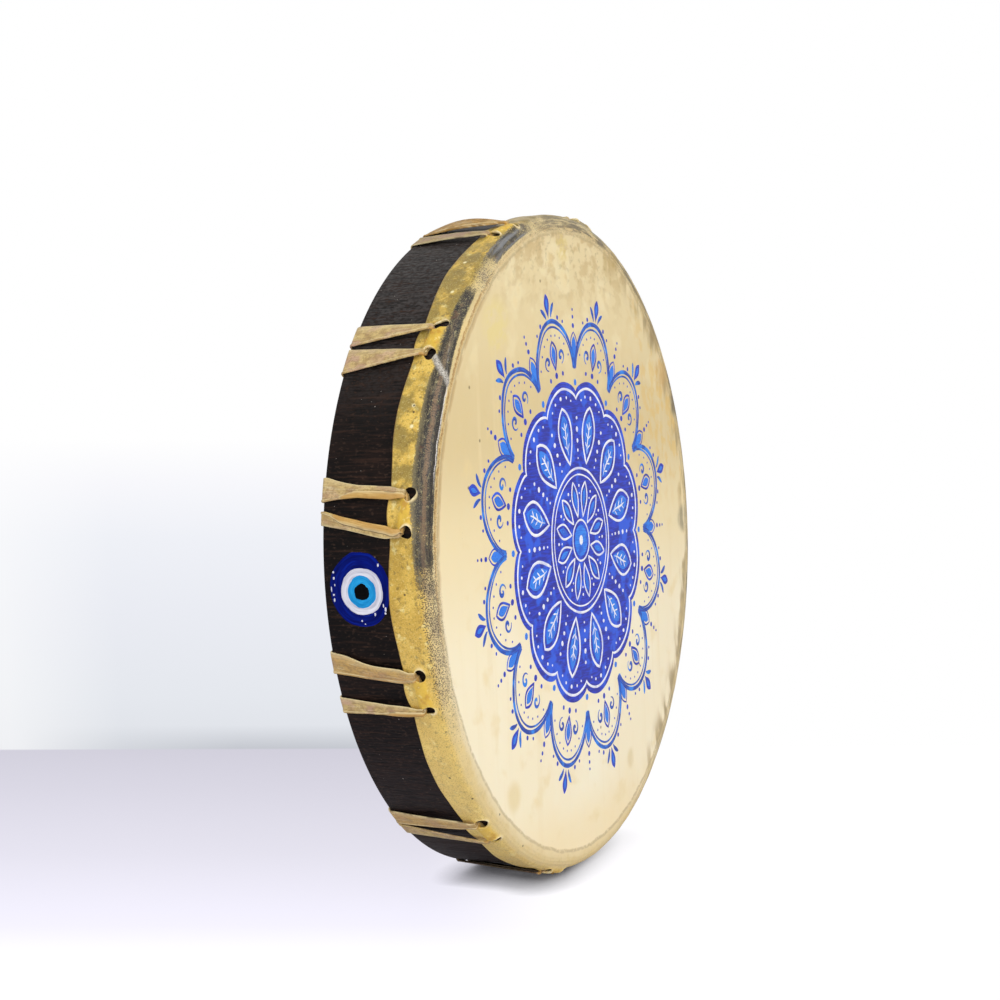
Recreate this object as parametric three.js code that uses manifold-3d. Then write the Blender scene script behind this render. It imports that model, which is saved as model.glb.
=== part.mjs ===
// A hand drum that stands on its rim: a bent wooden hoop, a rawhide head drawn over its front edge,
// rawhide lacing that runs from pairs of holes over the back edge to a steel ring, and four
// bindings that gather the lacing into a cross-shaped grip.
// Millimetres, +Z up, the playing face looks along -Y.
import * as THREE from "three";
import { mergeVertices } from "three/addons/utils/BufferGeometryUtils.js";
import Module from "manifold-3d";

// Driving sizes
const headDiameter = 400; // over the rawhide, behind its rounded edge
const drumDepth = 64; // playing face to the hoop's back edge
const fitGap = 0.35; // left between pieces that touch
const hoopWall = 8;
const hoopCornerRadius = 1.2; // eased back corners
const skinThickness = 1.2;
const edgeRadius = 8; // outside of the rawhide where it turns the corner
const skirtDepth = 19.5; // playing face to the rawhide's free edge beside a pair of holes
const skirtSwell = 2.8; // how much deeper the free edge hangs midway between pairs
const earReach = 2.6; // how far the lace draws the free edge back between two holes
const earSpread = 1.1; // half the width of that pull, in half hole spacings
const laceSway = 2.2; // holes and free edge wander this much, twice round the drum
const swayAngle = 12; // where they lie deepest
const pairCount = 12;
const firstPairAngle = 10;
const pairDrift = [-1.5, -3.3, -2.5, -1, 0.5, 1, -0.5, 1, 2.5, 3.5, 0.5, 1]; // degrees, punched by eye
const holeDepth = 9.2; // playing face to the holes
const holeSpacing = 20; // between the two holes of a pair
const holeDiameter = 6.5;
const humpSpread = 1.9; // the rawhide rises over the lace this far to each side, in half hole spacings
const humpSlope = 0.75; // and slopes down over this much of it
const humpCrown = 0.15; // it rises this share more midway between two holes
const humpSetback = 1; // its middle lies this much behind the holes
const humpFlat = 4; // before and behind its middle it is full this far
const humpReach = 8; // and has gone this far
const strapWidth = 12; // lace at the hoop's back edge, lying flat
const strapThickness = 1.2;
const strapSpacing = 16; // between a pair's two straps at the back edge
const strapLean = 0.6; // degrees that a pair leans up towards the back
const shoulderWidth = 6.4; // lace folding together above its hole
const shoulderDepth = 3.2; // how far behind its hole's back edge the lace lies down
const foldWidth = 4.2; // lace where it starts to fold
const foldThickness = 1.4;
const holeLaceWidth = 3.6; // lace bunched in its hole
const holeLaceThickness = 1.6;
const holeLaceGap = 0.15; // to the back edge of its hole
const underLaceWidth = 4; // lace lying under the skirt between two holes
const laneWidth = 4; // lace folded in three inside the grip
const laneThickness = 3.6;
const pairsPerSpoke = 3;
const ringDiameter = 50; // to the middle of its rod
const ringRod = 6;
const ringDepth = 58; // playing face to the ring's middle
const wrapWidth = 3.6; // lace turning round the ring
const wrapThickness = 2.4;
const bindingSetback = 14; // ring's outside to the first turn of a binding
const bindingTurns = 5;
const bindingPitch = 8;
const bindingWidth = 7.4;
const bindingThickness = 1.2;
const bindingSlack = 0.2; // between the grip and its binding, beyond the gap
const spreadSetback = 4; // last turn of a binding to where the laces spread

const hoopSegments = 96;
const ringSegments = 40;
const rodSegments = 8;
const holeSegments = 12;
const bindingArcSteps = 4;
const edgeTurns = [0, 30, 60, 90]; // degrees at which the rounded front edge has a ring of points
const backTurns = [0, 35, 65, 90]; // degrees at which a lace has a station on the back edge
const ringTurns = [72, 108, 144, 180, 205]; // and round the ring
const columnsAtPair = [-1.9, -1.15, -0.45, 0, 0.45, 1.15, 1.9]; // head's columns, in half hole spacings
const columnsBetween = 3; // between two pairs

// Sizes that follow from them
const headRadius = headDiameter / 2;
const hoopRadius = headRadius - skinThickness - fitGap;
const hoopInnerRadius = hoopRadius - hoopWall;
const hoopEdgeRadius = edgeRadius - skinThickness - fitGap;
const halfHoleAngle = THREE.MathUtils.radToDeg(holeSpacing / 2 / headRadius);
const halfStrapAngle = THREE.MathUtils.radToDeg(strapSpacing / 2 / headRadius);
const underRadius = hoopRadius + fitGap + holeLaceThickness / 2;
const humpHeight = holeLaceThickness + fitGap; // room that the rawhide gives the lace under it
const shoulderRadius = headRadius + humpHeight + fitGap + strapThickness / 2;
const spokeCount = Math.ceil(pairCount / pairsPerSpoke);
const lanePitch = laneWidth + fitGap;
const bindingStart = ringDiameter / 2 + ringRod / 2 + bindingSetback;
const bindingEnd = bindingStart + bindingTurns * bindingPitch + bindingWidth;

const kernel = await Module();
kernel.setup();

// A point of the drum: distance from its axis, angle in degrees from the left (-X) up and over as
// seen from the front, and depth behind the playing face.
function onDrum(radius, angle, depth) {
  const a = THREE.MathUtils.degToRad(angle);
  return new THREE.Vector3(-radius * Math.cos(a), depth, radius * Math.sin(a));
}

const outward = (angle) => onDrum(1, angle, 0);
const onward = (angle) => onDrum(1, angle + 90, 0);

function pairAngle(pair) {
  return firstPairAngle + (pair * 360) / pairCount + pairDrift[pair % pairDrift.length];
}

function sway(angle) {
  return laceSway * Math.cos(THREE.MathUtils.degToRad(2 * (angle - swayAngle)));
}

const holeDepthAt = (angle) => holeDepth + sway(angle);

// Closed surface from rings of equal point count: walls between neighbours, and a fan of
// triangles on the first and last ring.
function loft(rings) {
  const count = rings[0].length;
  const positions = rings.flat().flatMap((p) => [p.x, p.y, p.z]);
  const index = [];
  for (let r = 0; r + 1 < rings.length; r++)
    for (let c = 0; c < count; c++) {
      const next = (c + 1) % count;
      const a = r * count + c;
      const b = r * count + next;
      index.push(a, b, b + count, a, b + count, a + count);
    }
  const last = (rings.length - 1) * count;
  for (let c = 1; c + 1 < count; c++) {
    index.push(0, c + 1, c);
    index.push(last, last + c, last + c + 1);
  }
  const geometry = new THREE.BufferGeometry();
  geometry.setAttribute("position", new THREE.Float32BufferAttribute(positions, 3));
  geometry.setIndex(index);
  return geometry;
}

// Lace of changing section through stations {at, across, width, thickness}; across is the
// direction of the lace's width there.
function lace(stations) {
  const rings = stations.map((station, i) => {
    const before = stations[Math.max(i - 1, 0)].at;
    const after = stations[Math.min(i + 1, stations.length - 1)].at;
    const toHere = station.at.clone().sub(before).normalize();
    const fromHere = after.clone().sub(station.at).normalize();
    const travel = toHere.add(fromHere).normalize();
    const across = station.across.clone().addScaledVector(travel, -station.across.dot(travel));
    across.normalize().multiplyScalar(station.width / 2);
    const through = travel.cross(across).normalize().multiplyScalar(station.thickness / 2);
    return [[1, 1], [-1, 1], [-1, -1], [1, -1]].map(([w, t]) =>
      station.at.clone().addScaledVector(across, w).addScaledVector(through, t),
    );
  });
  return loft(rings);
}

function toSolid(geometry) {
  const bare = geometry.clone();
  bare.deleteAttribute("normal");
  bare.deleteAttribute("uv");
  const merged = mergeVertices(bare, 1e-4);
  return new kernel.Manifold(
    new kernel.Mesh({
      numProp: 3,
      vertProperties: merged.getAttribute("position").array,
      triVerts: new Uint32Array(merged.getIndex().array),
    }),
  );
}

function toGeometry(solid) {
  const mesh = solid.getMesh();
  const geometry = new THREE.BufferGeometry();
  geometry.setAttribute("position", new THREE.BufferAttribute(mesh.vertProperties, 3));
  geometry.setIndex(new THREE.BufferAttribute(mesh.triVerts, 1));
  return geometry;
}

// Radius and depth on the drum's rounded front edge, turned in degrees from the face to the side.
// The hoop and both faces of the rawhide share its middle.
function edgePoint(turn, round) {
  const a = THREE.MathUtils.degToRad(turn);
  return [headRadius - edgeRadius + round * Math.sin(a), edgeRadius - round * Math.cos(a)];
}

// Hoop: a bent strip, rounded in front where the rawhide turns over it
function hoopGeometry() {
  const back = drumDepth - hoopCornerRadius;
  const eased = hoopCornerRadius * Math.SQRT1_2;
  const section = edgeTurns.map((turn) => edgePoint(turn, hoopEdgeRadius));
  section.push([hoopRadius, back]);
  section.push([hoopRadius - hoopCornerRadius + eased, back + eased]);
  section.push([hoopRadius - hoopCornerRadius, drumDepth]);
  section.push([hoopInnerRadius + hoopCornerRadius, drumDepth]);
  section.push([hoopInnerRadius, back]);
  section.push([hoopInnerRadius, edgeRadius - hoopEdgeRadius + hoopCornerRadius]);
  section.push(section[0]);
  const points = section.map(([radius, depth]) => new THREE.Vector2(radius, depth));
  return new THREE.LatheGeometry(points, hoopSegments, Math.PI / hoopSegments);
}

// Distance round the drum from an angle to its nearest pair of holes, in half hole spacings
function fromPair(angle) {
  let nearest = { steps: Infinity, angle: 0 };
  for (let pair = 0; pair < pairCount; pair++) {
    const turn = angle - pairAngle(pair);
    const offset = turn - 360 * Math.round(turn / 360);
    const steps = offset / halfHoleAngle;
    if (Math.abs(steps) < Math.abs(nearest.steps)) nearest = { steps, angle: pairAngle(pair) };
  }
  return nearest;
}

// Angles of the head's columns: close together at each pair of holes, even in between
function headColumns() {
  const columns = [];
  for (let pair = 0; pair < pairCount; pair++) {
    const here = pairAngle(pair);
    const next = pair + 1 < pairCount ? pairAngle(pair + 1) : pairAngle(0) + 360;
    for (const step of columnsAtPair) columns.push(here + step * halfHoleAngle);
    const from = here + columnsAtPair.at(-1) * halfHoleAngle;
    const gap = next + columnsAtPair[0] * halfHoleAngle - from;
    for (let k = 1; k <= columnsBetween; k++) columns.push(from + (gap * k) / (columnsBetween + 1));
  }
  return columns;
}

// How far the rawhide stands off the hoop over the lace that passes under it
function humpAt(angle, depth) {
  const { steps, angle: pair } = fromPair(angle);
  const side = THREE.MathUtils.clamp((humpSpread - Math.abs(steps)) / humpSlope, 0, 1);
  const away = Math.abs(depth - holeDepthAt(pair) - humpSetback);
  const fade = 1 - THREE.MathUtils.smoothstep(away, humpFlat, humpReach);
  return humpHeight * side * fade * (1 + humpCrown * Math.max(0, 1 - Math.abs(steps)));
}

function skirtEdgeAt(angle) {
  const { steps } = fromPair(angle);
  const reach = 180 / pairCount / halfHoleAngle;
  const swell = (skirtSwell * (1 - Math.cos((Math.PI * steps) / reach))) / 2;
  const ear = earReach * Math.max(0, 1 - (steps / earSpread) ** 2);
  return skirtDepth + sway(angle) + swell + ear;
}

// Profile of one face of the rawhide at an angle, from the flat out over the edge and down the skirt
function headProfile(angle, inset) {
  const edge = skirtEdgeAt(angle);
  const holeBack = Math.max(holeDepthAt(angle), edgeRadius) + holeDiameter / 2;
  const profile = edgeTurns.slice(1).map((turn) => edgePoint(turn, edgeRadius - inset));
  for (const depth of [holeBack, (holeBack + edge) / 2, edge]) profile.push([headRadius - inset, depth]);
  return profile.map(([radius, depth], row) => {
    const rise = row > 0 ? humpAt(angle, depth) : 0;
    return onDrum(radius + rise, angle, depth);
  });
}

function headGeometry() {
  const columns = headColumns();
  const faceRadius = headRadius - edgeRadius;
  const faceRing = columns.map((angle) => onDrum(faceRadius, angle, 0));
  const backRing = columns.map((angle) => onDrum(faceRadius, angle, skinThickness));
  const outer = columns.map((angle) => headProfile(angle, 0));
  const inner = columns.map((angle) => headProfile(angle, skinThickness));
  const rows = outer[0].length;
  const rings = [faceRing];
  for (let row = 0; row < rows; row++) rings.push(outer.map((profile) => profile[row]));
  for (let row = rows - 1; row >= 0; row--) rings.push(inner.map((profile) => profile[row]));
  rings.push(backRing);
  let skin = toSolid(loft(rings));
  for (let pair = 0; pair < pairCount; pair++)
    for (const side of [-1, 1]) skin = skin.subtract(toSolid(holeCutter(pair, side)));
  return toGeometry(skin);
}

function holeCutter(pair, side) {
  const angle = pairAngle(pair) + side * halfHoleAngle;
  const length = 4 * (skinThickness + humpHeight);
  const cutter = new THREE.CylinderGeometry(holeDiameter / 2, holeDiameter / 2, length, holeSegments);
  const centre = onDrum(headRadius, angle, holeDepthAt(pairAngle(pair)));
  const turn = new THREE.Quaternion().setFromUnitVectors(new THREE.Vector3(0, 1, 0), outward(angle));
  return cutter.applyQuaternion(turn).translate(centre.x, centre.y, centre.z);
}

// Depth at which a pair's lace stands in its holes, near their back edge
function entryDepth(pair) {
  return holeDepthAt(pairAngle(pair)) + holeDiameter / 2 - holeLaceThickness - holeLaceGap;
}

// Half of one run of lacing: stations from under the skirt, out of a hole, back along the hoop,
// over its back edge, in to the grip and round the ring. side is -1 or 1, the lower or the higher
// angle.
function laceHalf(pair, side) {
  const centre = pairAngle(pair);
  const holeAngle = centre + side * halfHoleAngle;
  const strapAngle = centre + strapLean + side * halfStrapAngle;
  const across = (angle) => onward(angle).multiplyScalar(-side);
  const { lerp } = THREE.MathUtils;
  const stations = [];
  const add = (at, acrossHere, width, thickness) =>
    stations.push({ at, across: acrossHere, width, thickness });

  // Under the skirt and up through the hole. A row of climb is the distance from the drum's axis,
  // the depth behind the entry, and the lace's width and thickness.
  const entry = entryDepth(pair);
  const underShare = 0.55; // of the way to the hole, where the lace starts to turn up
  add(onDrum(underRadius, centre + side * halfHoleAngle * underShare, entry), outward(holeAngle),
    holeLaceThickness, underLaceWidth - 0.6);
  add(onDrum(underRadius + 0.5, holeAngle, entry), outward(holeAngle).add(across(holeAngle)), 2.4, 2);
  const climb = [
    [headRadius + 0.4, 0, holeLaceWidth, holeLaceThickness],
    [shoulderRadius - 0.8, 0.1, holeLaceWidth, holeLaceThickness],
    [shoulderRadius - 0.1, 1, foldWidth, foldThickness],
    [shoulderRadius, shoulderDepth, shoulderWidth, strapThickness],
  ];
  for (const [radius, further, width, thickness] of climb)
    add(onDrum(radius, holeAngle, entry + further), across(holeAngle), width, thickness);

  // Back along the hoop and over its back edge
  const turnRadius = hoopCornerRadius + fitGap + strapThickness / 2;
  const cornerRadius = hoopRadius - hoopCornerRadius;
  const cornerDepth = drumDepth - hoopCornerRadius;
  for (const share of [0.35, 0.7]) {
    const angle = lerp(holeAngle, strapAngle, share);
    const radius = lerp(shoulderRadius, cornerRadius + turnRadius, share);
    const depth = lerp(entry + shoulderDepth, cornerDepth, share);
    add(onDrum(radius, angle, depth), across(angle), lerp(shoulderWidth, strapWidth, share), strapThickness);
  }
  for (const turn of backTurns) {
    const a = THREE.MathUtils.degToRad(turn);
    const radius = cornerRadius + turnRadius * Math.cos(a);
    const depth = cornerDepth + turnRadius * Math.sin(a);
    add(onDrum(radius, strapAngle, depth), across(strapAngle), strapWidth, strapThickness);
  }
  add(onDrum(hoopInnerRadius, strapAngle, cornerDepth + turnRadius), across(strapAngle), strapWidth,
    strapThickness);

  // In to the grip, where the runs of one spoke lie side by side
  const spoke = Math.floor((pair + 1) / pairsPerSpoke) % spokeCount;
  const slot = ((pair + 1) % pairsPerSpoke) - 1;
  const spokeAngle = firstPairAngle + (spoke * 360) / spokeCount;
  const lane = (2 * slot + side / 2) * lanePitch;
  const inSpoke = (reach) =>
    outward(spokeAngle).multiplyScalar(reach).addScaledVector(onward(spokeAngle), lane)
      .add(new THREE.Vector3(0, ringDepth, 0));
  const rim = stations.at(-1).at;
  const rimReach = rim.dot(outward(spokeAngle));
  const rimOffset = rim.dot(onward(spokeAngle));
  const bend = Math.atan2(rimOffset - lane, rimReach - bindingEnd);
  const bendReach = bindingEnd + spreadSetback - (side / 2) * lanePitch * Math.tan(bend / 2);
  for (const share of [0.4, 0.8]) {
    const at = rim.clone().lerp(inSpoke(bendReach), share);
    const acrossHere = across(strapAngle).lerp(across(spokeAngle), share).normalize();
    const width = lerp(strapWidth, laneWidth, share);
    add(at, acrossHere, width, lerp(strapThickness, laneThickness, share));
  }
  for (const reach of [bendReach, bindingStart - 1])
    add(inSpoke(reach), across(spokeAngle), laneWidth, laneThickness);

  // Round the ring: the higher strap passes behind it, the lower one in front
  const wrapRadius = ringRod / 2 + fitGap + wrapThickness / 2;
  const innermost = ringDiameter / 2 - wrapRadius - wrapThickness / 2;
  const wrapStep = THREE.MathUtils.radToDeg((wrapWidth + fitGap) / innermost);
  const wrapAngle = spokeAngle + (2 * slot + side / 2) * wrapStep;
  for (const turn of ringTurns) {
    const a = THREE.MathUtils.degToRad(turn);
    const radius = ringDiameter / 2 + wrapRadius * Math.cos(a);
    const depth = ringDepth + side * wrapRadius * Math.sin(a);
    add(onDrum(radius, wrapAngle, depth), across(wrapAngle), wrapWidth, wrapThickness);
  }
  return stations;
}

function laceGeometry(pair) {
  const centre = pairAngle(pair);
  const middle = {
    at: onDrum(underRadius, centre, entryDepth(pair)),
    across: outward(centre),
    width: holeLaceThickness,
    thickness: underLaceWidth,
  };
  return lace([...laceHalf(pair, -1).reverse(), middle, ...laceHalf(pair, 1)]);
}

// Ring that the lacing meets at
function ringGeometry() {
  const ring = new THREE.TorusGeometry(ringDiameter / 2, ringRod / 2, rodSegments, ringSegments);
  return ring.rotateX(Math.PI / 2).translate(0, ringDepth, 0);
}

// Flat lace wound round the straps of one spoke, a stadium-shaped turn at a time
function bindingStations(spoke) {
  const spokeAngle = firstPairAngle + (spoke * 360) / spokeCount;
  const round = laneThickness / 2 + fitGap + bindingThickness / 2 + bindingSlack;
  const straight = (pairsPerSpoke - 0.5) * lanePitch + laneWidth / 2; // outside of the last lane
  const outline = [];
  for (const end of [1, -1])
    for (let k = 0; k <= bindingArcSteps; k++) {
      const a = (Math.PI * k) / bindingArcSteps;
      outline.push([end * (straight + round * Math.sin(a)), end * round * Math.cos(a)]);
    }
  const stations = [];
  const count = bindingTurns * outline.length;
  const first = bindingStart + bindingWidth / 2;
  const travel = bindingTurns * bindingPitch;
  for (let k = 0; k <= count; k++) {
    const [offset, rise] = outline[k % outline.length];
    const at = outward(spokeAngle).multiplyScalar(first + (travel * k) / count);
    at.addScaledVector(onward(spokeAngle), offset);
    at.y = ringDepth + rise;
    const section = { width: bindingWidth, thickness: bindingThickness };
    stations.push({ at, across: outward(spokeAngle), ...section });
  }
  return stations;
}

// Least distance between the facing edges of neighbouring turns, measured on their stations
function leastTurnGap(stations, perTurn) {
  let least = Infinity;
  for (let k = 0; k + perTurn < stations.length; k++) {
    const span = stations[k + perTurn].at.distanceTo(stations[k].at);
    least = Math.min(least, span - stations[k].width);
  }
  return least;
}

function material(name, color, roughness, metalness) {
  return new THREE.MeshStandardMaterial({ name, color, roughness, metalness });
}

const stainedWood = material("stained wood", 0x241a17, 0.55, 0);
const rawhide = material("rawhide", 0xe2cd92, 0.5, 0);
const laceHide = material("rawhide lace", 0xc8ab78, 0.6, 0);
const steel = material("steel", 0xb9bbbd, 0.35, 1);
const boundHide = material("bound lace", 0xb08a5a, 0.65, 0);

const drum = new THREE.Group();

function addPiece(name, geometry, surface) {
  const piece = new THREE.Mesh(geometry, surface);
  piece.name = name;
  drum.add(piece);
}

addPiece("hoop", hoopGeometry(), stainedWood);
addPiece("drum_head", headGeometry(), rawhide);
addPiece("centre_ring", ringGeometry(), steel);
for (let pair = 0; pair < pairCount; pair++)
  addPiece("lace_" + String(pair + 1).padStart(2, "0"), laceGeometry(pair), laceHide);
for (let spoke = 0; spoke < spokeCount; spoke++)
  addPiece("spoke_binding_" + (spoke + 1), lace(bindingStations(spoke)), boundHide);

const turnGap = leastTurnGap(bindingStations(0), (bindingStations(0).length - 1) / bindingTurns);
console.log("least gap between turns of a binding: " + turnGap.toFixed(2) + " mm");

// The drum stands on the lowest point of its rim, centred on its width and depth
const box = new THREE.Box3().setFromObject(drum);
const centre = box.getCenter(new THREE.Vector3());
drum.position.set(-centre.x, -centre.y, -box.min.z);

export default drum;
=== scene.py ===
# A rawhide hand drum standing on its rim: stained hoop, head laced over it and painted with a rosette,
# an eye charm painted on the hoop, and a laced cross grip behind. Sizes in the dictionaries are mm.
import math
import random

import bpy
import bmesh
from mathutils import Matrix, Vector, noise


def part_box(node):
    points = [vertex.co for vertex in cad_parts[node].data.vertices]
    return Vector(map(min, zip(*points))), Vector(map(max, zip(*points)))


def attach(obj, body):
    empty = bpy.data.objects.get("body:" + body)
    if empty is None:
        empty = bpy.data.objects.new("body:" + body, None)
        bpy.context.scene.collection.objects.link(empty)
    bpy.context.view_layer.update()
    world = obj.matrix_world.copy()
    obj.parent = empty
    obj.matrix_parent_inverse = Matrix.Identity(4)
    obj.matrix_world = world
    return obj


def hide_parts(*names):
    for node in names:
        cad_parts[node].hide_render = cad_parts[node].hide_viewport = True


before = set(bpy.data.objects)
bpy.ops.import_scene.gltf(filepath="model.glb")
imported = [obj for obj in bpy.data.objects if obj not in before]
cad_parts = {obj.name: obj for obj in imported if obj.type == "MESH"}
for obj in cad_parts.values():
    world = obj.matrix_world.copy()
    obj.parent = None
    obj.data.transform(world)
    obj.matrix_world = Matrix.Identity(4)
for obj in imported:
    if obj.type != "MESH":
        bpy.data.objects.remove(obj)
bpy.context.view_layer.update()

mm = 0.001
bpy.context.scene.view_settings.view_transform = "Standard"

# The drum's axis goes through the ring, and its playing face is the head's front
ringLow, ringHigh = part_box("centre_ring")
headLow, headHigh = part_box("drum_head")
drumAxis = (ringLow + ringHigh) / 2
facePlane = headLow.y

drum = {
    "headRadius": 200,
    "depth": 64,
    "gap": 0.35,  # between pieces that touch
    "pairs": 12,
    "firstPair": 10,  # degrees above the left, as all angles here
    "pairDrift": [-1.5, -3.3, -2.5, -1, 0.5, 1, -0.5, 1, 2.5, 3.5, 0.5, 1],
    "sway": 2.2,  # holes and free edge wander this much
    "swayAngle": 12,
}


def onDrum(radius, angle, depth):
    a = math.radians(angle)
    across = Vector((-math.cos(a), 0, math.sin(a))) * radius * mm
    return Vector((drumAxis.x, facePlane + depth * mm, drumAxis.z)) + across


def outward(angle):  # unit vector from the axis
    return (onDrum(1, angle, 0) - onDrum(0, angle, 0)).normalized()


def onward(angle):  # unit vector round the drum, the way that angles grow
    return outward(angle + 90)


def onFace(x, z, depth=0.0):  # from the middle of the playing face
    return Vector((drumAxis.x + x * mm, facePlane + depth * mm, drumAxis.z + z * mm))


def pairAngle(pair):
    return drum["firstPair"] + pair * 360 / drum["pairs"] + drum["pairDrift"][pair]


def sway(angle):
    return drum["sway"] * math.cos(math.radians(2 * (angle - drum["swayAngle"])))


def turnBetween(angle, other):
    return (angle - other + 180) % 360 - 180


def clamp(value, low=0.0, high=1.0):
    return max(low, min(high, value))


def lerp(a, b, share):
    return a + (b - a) * share


def smooth(value, low, high):
    share = clamp((value - low) / (high - low))
    return share * share * (3 - 2 * share)


def along(stations, value):  # straight lines through (place, amount) pairs
    for (a, low), (b, high) in zip(stations, stations[1:]):
        if value <= b:
            return lerp(low, high, clamp((value - a) / (b - a)))
    return stations[-1][1]


def ripple(x, y, z=0.0):  # smooth wander from -1 to 1, one bump for each unit
    return noise.noise(Vector((x, y, z)) + Vector((7.3, 3.1, 11.7)))


def colour(code):  # sRGB hex to linear
    channels = [int(code[i:i + 2], 16) / 255 for i in (1, 3, 5)]
    return [c / 12.92 if c <= 0.04045 else ((c + 0.055) / 1.055) ** 2.4 for c in channels] + [1]


def addNode(tree, kind, inputs=None, ramp=None, **settings):
    made = tree.nodes.new("ShaderNode" + kind)
    for name, value in settings.items():
        setattr(made, name, value)
    for socket, value in (inputs or {}).items():
        if isinstance(value, bpy.types.NodeSocket):
            tree.links.new(value, made.inputs[socket])
        else:
            made.inputs[socket].default_value = value
    if ramp:
        stops = made.color_ramp.elements
        stops.remove(stops[1])
        for place, code in ramp:
            stop = stops.new(place) if place != ramp[0][0] else stops[0]
            stop.position = place
            stop.color = colour(code)
    return made


def newMaterial(name):
    made = bpy.data.materials.new(name)
    made.use_nodes = True
    made.node_tree.nodes.clear()
    shader = addNode(made.node_tree, "BsdfPrincipled")
    addNode(made.node_tree, "OutputMaterial", {"Surface": shader.outputs[0]})
    return made, made.node_tree, shader


def makeFinish(look):
    # Makes a material from its dictionary. Its patterns are the place along X and Z, the mesh's marks,
    # clouds of noise (size in mm along each axis of the run, then detail) and sums of patterns. Its
    # coats lie one over another: a colour, how much of it, and the patterns that it follows with the
    # values where it starts and is full. Spots are coats round one place. Roughness and the strength of
    # the relief are plain numbers, or follow a pattern: its two values, then the number at each
    made, tree, shader = newMaterial(look["name"])
    place = run = addNode(tree, "TexCoord").outputs["Object"]
    if "run" in look:
        run = addNode(tree, "Attribute", attribute_name=look["run"]).outputs["Vector"]
    axes = addNode(tree, "SeparateXYZ", {0: place}).outputs
    patterns = {"x": axes["X"], "z": axes["Z"]}
    for name in look.get("marks", ()):
        patterns[name] = addNode(tree, "Attribute", attribute_name=name).outputs["Fac"]
    for name, (*sizes, detail) in look["clouds"].items():
        moved = addNode(tree, "Mapping", {"Vector": run, "Location": [len(patterns) * 3.7] * 3,
                                          "Scale": [1000 / size for size in sizes]}).outputs[0]
        patterns[name] = addNode(tree, "TexNoise", {"Vector": moved, "Scale": 1, "Detail": detail}).outputs[0]
    for name, (pattern, times, added) in look.get("sums", {}).items():
        patterns[name] = addNode(tree, "Math", {0: patterns[pattern], 1: times, 2: patterns[added]},
                                 operation="MULTIPLY_ADD").outputs[0]
    base, *coats = look["coats"]
    for number, (centre, radius, code, share, *steps) in enumerate(look.get("spots", ())):
        patterns[number] = addNode(tree, "VectorMath", {0: place, 1: centre},
                                   operation="DISTANCE").outputs["Value"]
        coats.append((code, share, (number, radius * mm, radius * 0.35 * mm), *steps))
    tone = colour(base)
    for code, share, *steps in coats:
        for pattern, start, full in steps:
            share = addNode(tree, "MapRange", {0: patterns[pattern], 1: start, 2: full, 4: share},
                            interpolation_type="SMOOTHSTEP").outputs[0]
        tone = addNode(tree, "Mix", {0: share, 6: tone, 7: colour(code)}, data_type="RGBA").outputs[2]
    tree.links.new(tone, shader.inputs["Base Color"])
    height = 0.0
    for pattern, times in look["relief"].items():
        height = addNode(tree, "Math", {0: patterns[pattern], 1: times, 2: height},
                         operation="MULTIPLY_ADD").outputs[0]
    bump = addNode(tree, "Bump", {"Height": height, "Distance": look["deep"] * mm})
    for name, socket in (("rough", shader.inputs["Roughness"]), ("strength", bump.inputs["Strength"])):
        if isinstance(look[name], tuple):
            pattern, start, full, low, high = look[name]
            followed = addNode(tree, "MapRange", {0: patterns[pattern], 1: start, 2: full, 3: low, 4: high})
            tree.links.new(followed.outputs[0], socket)
        else:
            socket.default_value = look[name]
    tree.links.new(bump.outputs[0], shader.inputs["Normal"])
    for socket, value in look.get("sockets", {}).items():
        shader.inputs[socket].default_value = value
    return made


def addPiece(name, points, faces, materials, marks=None, materialOf=None, sharpAngle=None):
    mesh = bpy.data.meshes.new(name)
    mesh.from_pydata(points, [], faces)
    for key, values in (marks or {}).items():
        if isinstance(values[0], (tuple, list)):
            spread = [v for value in values for v in value]
            mesh.attributes.new(key, "FLOAT_VECTOR", "POINT").data.foreach_set("vector", spread)
        else:
            mesh.attributes.new(key, "FLOAT", "POINT").data.foreach_set("value", values)
    for material in materials:
        mesh.materials.append(material)
    if materialOf:
        mesh.polygons.foreach_set("material_index", materialOf)
    shape = bmesh.new()
    shape.from_mesh(mesh)
    bmesh.ops.recalc_face_normals(shape, faces=shape.faces)
    shape.to_mesh(mesh)
    shape.free()
    mesh.polygons.foreach_set("use_smooth", [True] * len(mesh.polygons))
    if sharpAngle:
        mesh.set_sharp_from_angle(angle=math.radians(sharpAngle))
    piece = bpy.data.objects.new(name, mesh)
    bpy.context.scene.collection.objects.link(piece)
    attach(piece, "root")
    return piece


def ringNumbers(row, count):  # vertex numbers of one closed ring among rings of so many points
    return list(range(row * count, (row + 1) * count))


def bridge(ring, other):  # quads between two closed rings of vertex numbers
    return list(zip(ring, ring[1:] + ring[:1], other[1:] + other[:1], other))


def fan(ring, middle):  # triangles from a closed ring to one vertex
    return [(a, b, middle) for a, b in zip(ring, ring[1:] + ring[:1])]


# Camera: where the photograph was taken, from a perspective fit of the rim
view = {
    "azimuth": -63.98,
    "elevation": 2.5,
    "roll": -2.32,
    "distance": 1050,
    "right": -50.4,
    "up": 24.9,
    "lens": 61.16,
    "sensor": 36,
}


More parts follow.
